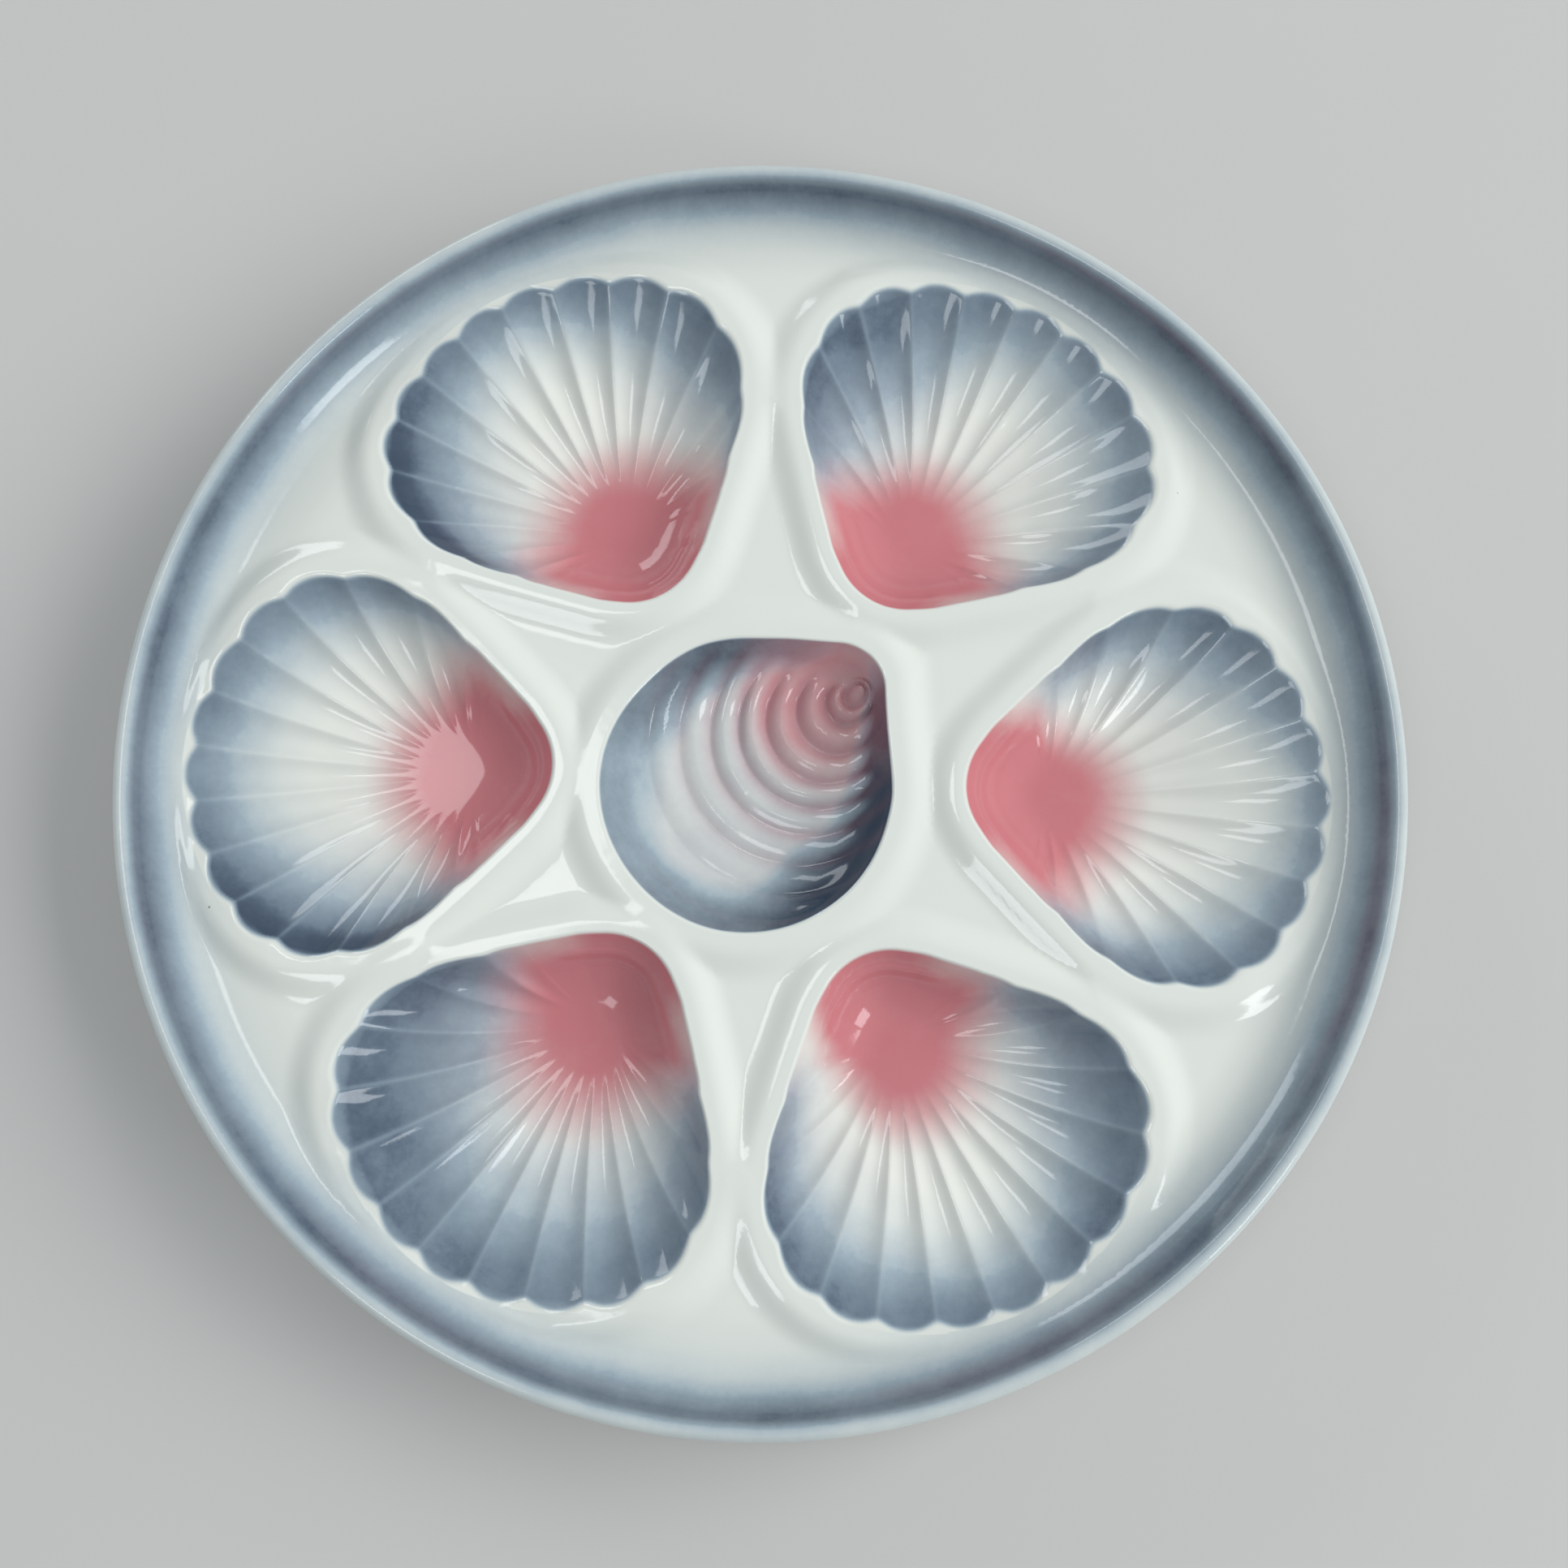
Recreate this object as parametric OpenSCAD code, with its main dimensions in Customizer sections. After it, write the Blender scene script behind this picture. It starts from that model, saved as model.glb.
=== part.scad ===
// Oyster plate with six scallop-shell wells round a whelk-shell sauce well.
// Origin: centre of the foot's underside, +Z up, millimetres.

/* [Plate] */
// Outer diameter of the plate
plate_d = 250; // [235:1:265]
// Height from the table to the top of the rim
plate_h = 26; // [24:0.5:29]
// Thickness of the fired body
body_wall = 4.5; // [3.5:0.1:5.5]
// Least width of deck left between two collars
deck_web = 1.2; // [1:0.1:2]

/* [Rim] */
// Width of the raised rim outside the channel
rim_w = 7; // [6:0.25:8.5]
// Radius of the rounded lip
lip_r = 1.7; // [1.2:0.1:2.2]
// Height of the rim above the wells' mouths
rim_rise = 7; // [5.5:0.25:8.5]
// Depth of the channel below the deck
channel_d = 0.5; // [0.3:0.1:0.9]
// Width of the slope from the deck down into the channel
channel_w = 10; // [8:1:13]
// Width of the hollow curve that climbs from the channel up to the rim
hollow_w = 6; // [4.5:0.5:7]

/* [Collars] */
// Height of a collar's crest above the deck
collar_h = 3.5; // [2.5:0.25:4.5]
// Drop from a collar's crest to the well's mouth
collar_roll = 1.5; // [1:0.1:2]
// Drop of a shell well's collar from its sides to its outer lobes
lobe_drop = 1.4; // [0.8:0.1:1.8]
// Width of a shell well's collar at its sides
side_collar_w = 3; // [2.4:0.1:3.4]
// Width of a shell well's collar at its outer lobes
lobe_collar_w = 2.6; // [2.2:0.1:3.4]
// Width of a shell well's collar at its tip
tip_collar_w = 3.2; // [2.5:0.1:4]
// Width of the sauce well's collar
sauce_collar_w = 3; // [2.5:0.1:4]

/* [Shell wells] */
// Radius of the rounded tip
tip_r = 14.6; // [12:0.2:16]
// Number of flutes in a shell
flute_count = 15; // [13:2:17]
// Angle of the fan that the flutes cover
fan_angle = 198; // [180:1:205]
// Depth of a flute below its ridges
flute_d = 1.8; // [1:0.1:2.2]
// Depth of the notches between the outer lobes
notch_d = 1.4; // [1:0.1:2]

/* [Sauce well] */
// Radius of the sauce well's mouth
sauce_r = 29; // [26:0.5:31]
// Radius of the mouth's corner beside the whelk's tip
corner_r = 9.6; // [8:0.2:11]
// Number of the whelk's crescents
crescent_count = 9; // [6:1:10]
// Height of a crescent above its groove
crescent_h = 1.2; // [0.8:0.1:1.6]

/* [Foot] */
// Height of the foot ring
foot_h = 3; // [2:0.25:4]
// Middle radius of the foot ring
foot_r = 70; // [66:0.5:74]
// Width of the foot ring
foot_w = 5; // [4:0.25:7]

/* [Hidden] */
$fn = 96;

// Overrun of the cuts
overrun = 1;

// Colours of the glaze
cream = [0.88, 0.9, 0.87];
blue_grey = [0.56, 0.63, 0.71];
rose = [0.8, 0.6, 0.6];
mist = [0.8, 0.8, 0.82];

// Levels
mouth_z = plate_h - rim_rise;
crest_z = mouth_z + collar_roll;
deck_z = crest_z - collar_h;
deck_low_z = deck_z - body_wall;
floor_z = foot_h + body_wall;
channel_z = deck_z - channel_d;

// Radii about the plate's centre
plate_r = plate_d / 2;
rim_in_r = plate_r - rim_w;

// Sauce well: a round mouth pulled out to one corner, where the whelk's tip lies
sauce_at = [-0.116, -0.131] * sauce_r;
corner_at = [0.488, 0.555] * sauce_r;
whelk_tip_at = [0.569, 0.521] * sauce_r;
corner_off = corner_at - sauce_at;
corner_dist = norm(corner_off);
corner_dir = atan2(corner_off[1], corner_off[0]);
corner_tangent = acos((sauce_r - corner_r) / corner_dist);
corner_span = atan2(corner_r * sin(corner_tangent), corner_dist + corner_r * cos(corner_tangent));
sauce_reach = norm(sauce_at) + sauce_r;

// Places of the shell wells: the hand-made mould has each a little off its even place and turn
well_count = 6;
sector_half = 180 / well_count;
move_shares = [[-0.0136, -0.0152], [-0.0096, -0.008], [-0.0096, -0.016],
               [0.0008, -0.016], [-0.0072, 0.0016], [-0.012, -0.0064]];
well_turns = [0.3, 0, 1.3, 1.2, -0.4, -1.5];
move_room = plate_r * 0.0128;

// Shell wells: a fan-shaped ellipse and a round tip, joined by their tangents
tip_u = sauce_reach + sauce_collar_w + deck_web * 0.775 + tip_collar_w;
lobe_u = rim_in_r - deck_web * 1.25 - lobe_collar_w;
shell_l = lobe_u - tip_u;
fan_share = 0.6086;
fan_u = tip_u + fan_share * shell_l;
fan_out = lobe_u - fan_u;
fan_in_share = 0.723;
fan_in = fan_in_share * (fan_u - tip_u);
side_room = fan_u * sin(sector_half) - side_collar_w - deck_web * 0.75 - move_room;
fan_side = sqrt(pow(side_room, 2) - pow(fan_in * sin(sector_half), 2)) / cos(sector_half);
focus_share = 0.235;
focus_u = tip_u + focus_share * shell_l;
tip_centre_u = tip_u + tip_r;
tip_gap = fan_u - tip_centre_u;
tangent_a = pow(tip_gap, 2) + pow(fan_side, 2) - pow(fan_in, 2);
tangent_b = 2 * tip_gap * tip_r;
tangent_c = pow(tip_r, 2) - pow(fan_side, 2);
tangent_sin = (sqrt(pow(tangent_b, 2) - 4 * tangent_a * tangent_c) - tangent_b) / (2 * tangent_a);
tangent_cos = sqrt(1 - pow(tangent_sin, 2));
fan_support = norm([fan_side * tangent_cos, fan_in * tangent_sin]);
tip_touch = [tip_centre_u - tip_r * tangent_sin, tip_r * tangent_cos];
fan_touch = [fan_u - pow(fan_in, 2) * tangent_sin / fan_support,
             pow(fan_side, 2) * tangent_cos / fan_support];
tip_touch_angle = atan2(tip_touch[1], tip_touch[0] - focus_u);
fan_touch_angle = atan2(fan_touch[1], fan_touch[0] - focus_u);
widest_angle = atan2(fan_side, fan_u - focus_u);

// Columns of the shell: four to a flute, then an even step round the tip.
// Each has its angle about the focus and its share of a ridge: 1 on a ridge and 0 in a flute.
flute_steps = 4;
tip_steps = 10;
flute_spread = 0.136;
fan_steps = flute_count * flute_steps;
function fan_share_at(j) = 2 * j / fan_steps - 1;
function fan_column(q) = fan_angle / 2 * ((1 - flute_spread) * q + flute_spread * pow(q, 3));
function ridge_share(j) = pow(2 * (j % flute_steps) / flute_steps - 1, 2);
function ridge_fade(q) = cos(90 * pow(abs(q), 4));
fan_columns = [for (j = [0 : fan_steps])
    [fan_column(fan_share_at(j)), ridge_share(j) * ridge_fade(fan_share_at(j))]];
tip_columns = [for (j = [1 : tip_steps - 1]) [fan_angle / 2 + j * (360 - fan_angle) / tip_steps, 0]];
columns = concat(fan_columns, tip_columns);

// Rings of the shell: share of the way to the mouth, and share of the flutes' full depth
fan_power = 3.4;
tip_power = 2.2;
sauce_power = 3.2;
bowl_shares = [0.38, 0.6, 0.78, 0.9];
flute_shares = [0.25, 0.75, 1, 0.8];

// Underside of a well: share of the way out, share of the side wall, share of the height
side_wall_share = 0.58;
under_shares = [[1, 1, 1], [0.82, 0.8, 0.36], [0.55, 0.3, 0]];

// Collar: share of its width and share of the drop from its crest to the deck
collar_shares = [[0.3, 0], [0.72, 0.22], [1, 1]];

// Whelk: the last crescent's radius and its reach past the tip, as shares of the mouth's radius
whelk_r_share = 0.94;
whelk_near_share = 0.24;
whelk_clip_share = 0.78;
whelk_clip_step_share = 0.14;
whelk_columns = 48;

// Section of a crescent: share of its width and share of its height
crescent_shares = [[0.3, 1], [0.68, 0.72], [1, 0]];

// Angle brought into the range from -180 to 180
function wrap(a) = a > 180 ? a - 360 : a < -180 ? a + 360 : a;

// Distance from the focus to the fan's ellipse, to the tip's circle and to their tangent
function fan_hit(a, b) =
    let (m = focus_u - fan_u,
         q = pow(cos(a) / b, 2) + pow(sin(a) / fan_side, 2),
         h = m * cos(a) / pow(b, 2),
         c = pow(m / b, 2) - 1)
    (sqrt(pow(h, 2) - q * c) - h) / q;
function tip_hit(a) =
    let (e = focus_u - tip_centre_u)
    sqrt(pow(tip_r, 2) - pow(e * sin(a), 2)) - e * cos(a);
function tangent_hit(a) =
    (tip_r + (focus_u - tip_centre_u) * tangent_sin) /
    (tangent_cos * abs(sin(a)) - tangent_sin * cos(a));

// Outline of the shell as a distance from the focus, and its outward normal
function shell_r(a) =
    let (w = abs(wrap(a)))
    w < widest_angle ? fan_hit(w, fan_out) :
    w < fan_touch_angle ? fan_hit(w, fan_in) :
    w < tip_touch_angle ? tangent_hit(w) : tip_hit(w);
function shell_at(a, r) = [focus_u + r * cos(a), r * sin(a)];
function unit(p) = p / norm(p);
function shell_normal(a) =
    let (w = abs(wrap(a)),
         p = shell_at(a, shell_r(a)),
         b = w < widest_angle ? fan_out : fan_in)
    w < fan_touch_angle ? unit([(p[0] - fan_u) / pow(b, 2), p[1] / pow(fan_side, 2)]) :
    w < tip_touch_angle ? [-tangent_sin, tangent_cos * sign(wrap(a))] :
    unit([p[0] - tip_centre_u, p[1]]);

// Collar's width, which follows the way that the outline faces
function collar_w(a) =
    let (n = shell_normal(a)[0])
    n > 0 ? side_collar_w + (lobe_collar_w - side_collar_w) * pow(n, 2) :
    side_collar_w + (tip_collar_w - side_collar_w) * pow(n, 4);
function collar_at(a, share) = shell_at(a, shell_r(a)) + share * collar_w(a) * shell_normal(a);

// Place in the plate of a point of a shell well
function turned(p, a) = [p[0] * cos(a) - p[1] * sin(a), p[0] * sin(a) + p[1] * cos(a)];
function plate_at(k, p) =
    let (a = k * 360 / well_count)
    turned([focus_u, 0], a) + plate_r * move_shares[k] + turned(p - [focus_u, 0], a + well_turns[k]);

// Section of the plate without its wells: flat, down into the channel, then up the rim in a hollow curve
lip_at = [plate_r - lip_r, plate_h - lip_r];
lip_turn = 153.6;
lip_start = lip_at + lip_r * [cos(lip_turn), sin(lip_turn)];
hollow_power = 2.3;
channel_r = rim_in_r - hollow_w;
function eased(s) = s * s * (3 - 2 * s);
function dish_z(r) =
    let (s = max(0, (r - channel_r) / (lip_start[0] - channel_r)))
    deck_z - channel_d * eased(max(0, min(1, (r - channel_r + channel_w) / channel_w))) +
    (lip_start[1] - channel_z) * pow(s, hollow_power);

// Closed loft through rings, with a point at each end
function loft_points(rings, first, last) =
    concat([first], [for (ring = rings, p = ring) p], [last]);
function loft_faces(rings) =
    let (n = len(rings[0]), m = len(rings), end = n * m + 1)
    concat(
        [for (j = [0 : n - 1]) [0, 1 + (j + 1) % n, 1 + j]],
        [for (i = [0 : m - 2], j = [0 : n - 1])
            [1 + i * n + j, 1 + i * n + (j + 1) % n, 1 + (i + 1) * n + (j + 1) % n]],
        [for (i = [0 : m - 2], j = [0 : n - 1])
            [1 + i * n + j, 1 + (i + 1) * n + (j + 1) % n, 1 + (i + 1) * n + j]],
        [for (j = [0 : n - 1]) [1 + (m - 1) * n + j, 1 + (m - 1) * n + (j + 1) % n, end]]);

function at_z(p, z) = [p[0], p[1], z];
function bowl_z(t, power, top = mouth_z) = floor_z + (top - floor_z) * pow(t, power);
function shell_power(a) = tip_power + (fan_power - tip_power) * (1 + cos(a)) / 2;
function under_z(share) = foot_h + (deck_low_z - foot_h) * share;

// Rings of a shell well, from its floor out over the collar and back underneath
function mouth_r(c) = shell_r(c[0]) - notch_d * c[1];
function lobe_low(a) = lobe_drop * pow(max(0, shell_normal(a)[0]), 2);
function shell_bowl_ring(k, i) =
    [for (c = columns)
        at_z(plate_at(k, shell_at(c[0], bowl_shares[i] * mouth_r(c))),
             bowl_z(bowl_shares[i], shell_power(c[0]), mouth_z - lobe_low(c[0])) +
             flute_d * flute_shares[i] * c[1])];
function shell_collar_ring(k, s) =
    [for (c = columns)
        let (p = plate_at(k, collar_at(c[0], s[0])), top = crest_z - lobe_low(c[0]))
        at_z(p, top - (top - dish_z(norm(p))) * s[1])];
function shell_seam(k) = [for (c = columns) plate_at(k, collar_at(c[0], 1))];
function shell_under_ring(k, s) =
    [for (c = columns)
        let (out = s[1] * side_wall_share * body_wall * shell_normal(c[0]))
        at_z(plate_at(k, shell_at(c[0], s[0] * shell_r(c[0])) + out), under_z(s[2]))];
function shell_rings(k) = concat(
    [for (i = [0 : len(bowl_shares) - 1]) shell_bowl_ring(k, i)],
    [[for (c = columns)
        at_z(plate_at(k, shell_at(c[0], mouth_r(c))), mouth_z - lobe_low(c[0]))]],
    [for (s = collar_shares) shell_collar_ring(k, s)],
    [[for (p = shell_seam(k)) at_z(p, deck_low_z)]],
    [for (s = under_shares) shell_under_ring(k, s)]);

// Outline of the sauce well about its own centre, and its outward normal
function sauce_side(t) = wrap(t - corner_dir);
function sauce_mouth(t) =
    let (d = abs(sauce_side(t)))
    d > corner_tangent ? sauce_r :
    d > corner_span ? sauce_r / cos(corner_tangent - d) :
    corner_dist * cos(d) + sqrt(pow(corner_r, 2) - pow(corner_dist * sin(d), 2));
function sauce_at_r(t, r) = sauce_at + r * [cos(t), sin(t)];
function sauce_normal(t) =
    let (d = abs(sauce_side(t)), turn = corner_dir + sign(sauce_side(t)) * corner_tangent)
    d > corner_tangent ? [cos(t), sin(t)] :
    d > corner_span ? [cos(turn), sin(turn)] :
    unit(sauce_at_r(t, sauce_mouth(t)) - corner_at);
function sauce_collar_at(t, share) =
    sauce_at_r(t, sauce_mouth(t)) + share * sauce_collar_w * sauce_normal(t);

// Crescents: nested circles whose centres drift away from the whelk's tip
whelk_drift = unit(sauce_at - whelk_tip_at);
function whelk_clip(p, clip) =
    let (q = p - sauce_at, t = atan2(q[1], q[0]))
    sauce_at + q * min(1, clip * sauce_mouth(t) / norm(q));
function whelk_at(s, t) =
    let (r = s * whelk_r_share * sauce_r,
         centre = whelk_tip_at + (r - whelk_near_share * sauce_r * sqrt(s)) * whelk_drift,
         clip = whelk_clip_share + whelk_clip_step_share * s)
    whelk_clip(centre + max(r, 0) * [cos(t), sin(t)], clip);
function sauce_share(p) =
    let (q = p - sauce_at) norm(q) / sauce_mouth(atan2(q[1], q[0]));
function sauce_z(p) = bowl_z(min(1, sauce_share(p)), sauce_power);
function whelk_point(s, t, h) =
    let (p = whelk_at(s, t)) at_z(p, sauce_z(p) + h * (1 - pow(sauce_share(p), 8)));
whelk_angles = [for (j = [0 : whelk_columns - 1]) j * 360 / whelk_columns];
sauce_rings = concat(
    [for (n = [0 : crescent_count - 1], s = crescent_shares)
        [for (t = whelk_angles) whelk_point((n + s[0]) / crescent_count, t, s[1] * crescent_h)]],
    [[for (t = whelk_angles) at_z(sauce_at_r(t, sauce_mouth(t)), mouth_z)]],
    [for (s = collar_shares)
        [for (t = whelk_angles) at_z(sauce_collar_at(t, s[0]), crest_z - collar_h * s[1])]],
    [[for (t = whelk_angles) at_z(sauce_collar_at(t, 1), deck_low_z)]],
    [for (s = under_shares)
        [for (t = whelk_angles)
            at_z(sauce_at_r(t, s[0] * sauce_mouth(t)) +
                 s[1] * side_wall_share * body_wall * sauce_normal(t), under_z(s[2]))]]);

// Rim's section: channel side, rounded lip and outer side
channel_steps = 12;
hollow_steps = 6;
rim_steps = 8;
lip_step_angle = 15;
function dish_points(from, to, steps) =
    [for (j = [0 : steps]) let (r = from + (to - from) * j / steps) [r, dish_z(r)]];
deck_section = concat(
    [[0, deck_z]],
    dish_points(channel_r - channel_w, channel_r, channel_steps),
    [for (j = [1 : hollow_steps]) dish_points(channel_r, rim_in_r, hollow_steps)[j]]);
rim_section = concat(
    [[rim_in_r, deck_low_z]],
    dish_points(rim_in_r, lip_start[0], rim_steps),
    [for (j = [9 : -1 : -2])
        let (a = j * lip_step_angle) lip_at + lip_r * [cos(a), sin(a)]]);

module rim() {
    color(blue_grey)
        rotate_extrude()
            polygon(rim_section);
}

module deck() {
    color(cream)
        difference() {
            rotate_extrude()
                polygon(concat(deck_section, [[rim_in_r, deck_low_z], [0, deck_low_z]]));
            translate([0, 0, deck_low_z - overrun])
                linear_extrude(plate_h - deck_low_z + 2 * overrun) {
                    for (k = [0 : well_count - 1])
                        polygon(shell_seam(k));
                    polygon([for (t = whelk_angles) sauce_collar_at(t, 1)]);
                }
        }
}

module shell_well(k) {
    rings = shell_rings(k);
    focus = plate_at(k, [focus_u, 0]);
    color(rose)
        polyhedron(loft_points(rings, at_z(focus, floor_z), at_z(focus, foot_h)), loft_faces(rings));
}

module sauce_well() {
    color(mist)
        polyhedron(
            loft_points(sauce_rings, at_z(whelk_tip_at, sauce_z(whelk_tip_at)), at_z(sauce_at, foot_h)),
            loft_faces(sauce_rings));
}

// Foot: a low ring under the wells, raised to the deck where it passes between them
foot_edge_share = 0.2;
module foot_ring() {
    edge = foot_edge_share * foot_w;
    inner = foot_r - foot_w / 2;
    outer = foot_r + foot_w / 2;
    color(cream) {
        rotate_extrude()
            polygon([[inner + edge, 0], [outer - edge, 0], [outer, edge],
                     [outer, foot_h], [inner, foot_h], [inner, edge]]);
        translate([0, 0, foot_h])
            linear_extrude(deck_low_z - foot_h)
                difference() {
                    circle(outer);
                    circle(inner);
                    for (k = [0 : well_count - 1])
                        polygon([for (p = shell_under_ring(k, under_shares[0])) [p[0], p[1]]]);
                }
    }
}

rim();
deck();
shell_well(0);  // shell_well_1
shell_well(1);  // shell_well_2
shell_well(2);  // shell_well_3
shell_well(3);  // shell_well_4
shell_well(4);  // shell_well_5
shell_well(5);  // shell_well_6
sauce_well();
foot_ring();
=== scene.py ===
"""Glazed earthenware oyster plate: six shell wells round a whelk well, in a raised rim.

All sizes here are millimetres and repeat the ones in part.scad. Meshes are made in metres.
"""
import math

import bmesh
import bpy
import numpy as np
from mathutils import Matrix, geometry


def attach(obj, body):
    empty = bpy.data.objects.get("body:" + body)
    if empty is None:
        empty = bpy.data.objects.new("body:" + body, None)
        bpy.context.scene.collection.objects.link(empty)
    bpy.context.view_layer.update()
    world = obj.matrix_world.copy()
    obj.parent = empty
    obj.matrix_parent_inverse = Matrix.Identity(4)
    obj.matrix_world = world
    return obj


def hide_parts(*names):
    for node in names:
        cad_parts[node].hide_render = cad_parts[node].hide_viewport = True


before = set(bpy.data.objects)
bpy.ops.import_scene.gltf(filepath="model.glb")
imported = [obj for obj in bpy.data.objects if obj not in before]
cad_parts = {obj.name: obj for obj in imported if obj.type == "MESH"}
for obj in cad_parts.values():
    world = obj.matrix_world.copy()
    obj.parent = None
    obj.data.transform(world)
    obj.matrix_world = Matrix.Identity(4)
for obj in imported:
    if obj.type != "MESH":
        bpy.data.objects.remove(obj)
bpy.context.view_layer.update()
MM = 0.001

# Plate
PLATE_R = 125.0
PLATE_H = 26.0
BODY_WALL = 4.5
RIM_IN_R = 118.0
LIP_R = 1.7
DECK_Z = 17.0
CHANNEL_Z = 16.5
CHANNEL_R = 112.0
CHANNEL_FALL_W = 10
CHANNEL_POWER = 2.3
DECK_LOW_Z = 12.5
FLOOR_Z = 7.5
FOOT_H = 3.0
FOOT_R = 70.0
FOOT_W = 5.0
WELLS = 6

# Shell wells
TIP_R = 14.6
TIP_U = 41.20434
LOBE_U = 113.9
SHELL_L = LOBE_U - TIP_U
FAN_PLACE = 0.6086
FAN_SHARE = 0.723
FOCUS_PLACE = 0.235
FAN_U = TIP_U + FAN_PLACE * SHELL_L
FAN_OUT = LOBE_U - FAN_U
FAN_IN = FAN_SHARE * (FAN_U - TIP_U)
FOCUS_U = TIP_U + FOCUS_PLACE * SHELL_L
TIP_CENTRE_U = TIP_U + TIP_R
SIDE_COLLAR_W = 3.0
LOBE_COLLAR_W = 2.6
TIP_COLLAR_W = 3.2
SECTOR_HALF = math.radians(30)
HALF_GAP = 2.5
SIDE_ROOM = FAN_U * math.sin(SECTOR_HALF) - SIDE_COLLAR_W - HALF_GAP
FAN_SIDE = math.sqrt(SIDE_ROOM ** 2 - (FAN_IN * math.sin(SECTOR_HALF)) ** 2) / math.cos(SECTOR_HALF)
WELL_MOVES = np.array([[-1.7, -1.9], [-1.2, -1.0], [-1.2, -2.0], [0.1, -2.0], [-0.9, 0.2], [-1.5, -0.8]])
WELL_TURNS = np.radians([0.3, 0, 1.3, 1.2, -0.4, -1.5]) + np.arange(WELLS) * 2 * math.pi / WELLS
FAN_POWER = 3.4
TIP_POWER = 2.2
LEDGE_H = 0.45
LEDGE_IN = 3.6
LEDGE_W = 0.9

# Flutes of a shell. Their ridges lean outward beyond LEAN_FROM, a share of the way to the mouth
FLUTES = 15
FAN_HALF = math.radians(99)
FLUTE_SPREAD = 0.136
FLUTE_LEAN = 0.18
LEAN_FROM = 0.75
FLUTE_TURNS = np.radians([0, 1.6, 5.8, 2.7, 1.4, -0.7])
FLUTE_D = 1.6
FLUTE_START = 0.18
FLUTE_FULL = 0.62
RIDGE_ROUND = 0.15

# Sauce well
SAUCE_R = 29.0
SAUCE_AT = np.array([-0.116, -0.131]) * SAUCE_R
CORNER_R = 9.6
CORNER_AT = np.array([0.488, 0.555]) * SAUCE_R
WHELK_TIP = np.array([0.655, 0.614]) * SAUCE_R
SAUCE_POWER = 3.2
CORNER_POWER = 5.7
SAUCE_COLLAR_W = 3.0
CRESCENT_H = 1.7
FAR_CRESCENT_H = 0.75
CRESCENT_RADII = np.array([0, 2.2, 4.7, 8.9, 13.1, 16.8, 20.7, 24.9, 29, 33, 37.2])
CRESCENT_NEAR = 10
CRESCENT_FAR = 42
GROOVE_ROUND = 0.16
RIB_POWER = 2.2
WHELK_LEAN = 0.65
WHELK_OPENS = math.radians(238)
WHELK_SHUTS = (48, 84)
WHELK_KNOB = (1.2, 3)
WHELK_ROSE_AT = WHELK_TIP - np.array([5, 1])

# How far inside the mouth the ribs start, which is further in along the dark right wall
RIB_TURNS = [-180, -60, -20, 25, 42, 180]
RIB_STARTS = [0.5, 0.5, 3.4, 3.2, 0.4, 0.5]
RIB_RAMP = 5

# Collars: rise above the deck, width of the crest and width with the slope. BLEND joins neighbours
SIDE_RISE = 2.0
LOBE_RISE = 0.7
SAUCE_RISE = 1.8
SIDE_CREST = 1.4
LOBE_CREST = 0.6
TIP_CREST = 1.0
SAUCE_CREST = 1.8
SIDE_FALL = 9.6
LOBE_FALL = 5.2
TIP_FALL = 9.3
SAUCE_FALL = 10.6
COLLAR_BLEND = 2.5
COLLAR_END = 4
EDGE_ROUND = 0.7
BOWL_REACH = 6
NO_BOWL = 99

# Underside of a well: share of the outline at its flat bottom, and its bulge at the seam
UNDER_SHARE = 0.5
UNDER_OUT = 0.58 * BODY_WALL
UNDER_FLAT = np.array([0.36, 0.22, 0.1])

# Cove between the seam and the bulge: share of the collar's width, and drop below the seam
COVE = ((1.0, 0), (0.45, 0), (0.15, 0.25))

# Foot ring: rounding of its edges, and how its top runs into the plate's underside
FOOT_EDGE = 1.1
FOOT_SINK = 1.1
FOOT_TOP_Z = 3.8

# Fineness of the meshes
FLUTE_SAMPLES = 16
TIP_SAMPLES = 52
INNER_ROWS = 48
EDGE_ROWS = 27
EDGE_FROM = 0.86
ROUND_SAMPLES = 384
SAUCE_SAMPLES = 480
DECK_GRID = 1.1
SEAM_ROOM = 0.5
RIM_ROOM = 0.6
SLOPE_STEP = 0.04
ROUND_TURNS = np.arange(ROUND_SAMPLES) * 2 * math.pi / ROUND_SAMPLES
CIRCLE = np.column_stack([np.cos(ROUND_TURNS), np.sin(ROUND_TURNS)])


def wrap(angle):
    """Angle brought into the range from -pi to pi."""
    return (angle + math.pi) % (2 * math.pi) - math.pi


def smooth(low, high, value):
    """Soft step from 0 at low to 1 at high."""
    share = np.clip((value - low) / (high - low), 0, 1)
    return share * share * (3 - 2 * share)


def softer(low, high, value):
    """Step from 0 at low to 1 at high that starts and ends without a crease."""
    share = np.clip((value - low) / (high - low), 0, 1)
    return share ** 3 * (share * (6 * share - 15) + 10)


def eased(value, marks, levels):
    """Level at a value, with a soft step from each mark to the next."""
    marks = np.asarray(marks, float)
    levels = np.asarray(levels, float)
    place = np.clip(np.searchsorted(marks, value, side="right") - 1, 0, len(marks) - 2)
    share = smooth(marks[place], marks[place + 1], value)
    return levels[place] + (levels[place + 1] - levels[place]) * share


def soft_min(one, other, width):
    """Lower of two heights, with the corner between them rounded."""
    near = np.maximum(width - np.abs(one - other), 0) / width
    return np.minimum(one, other) - near * near * width / 4


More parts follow.
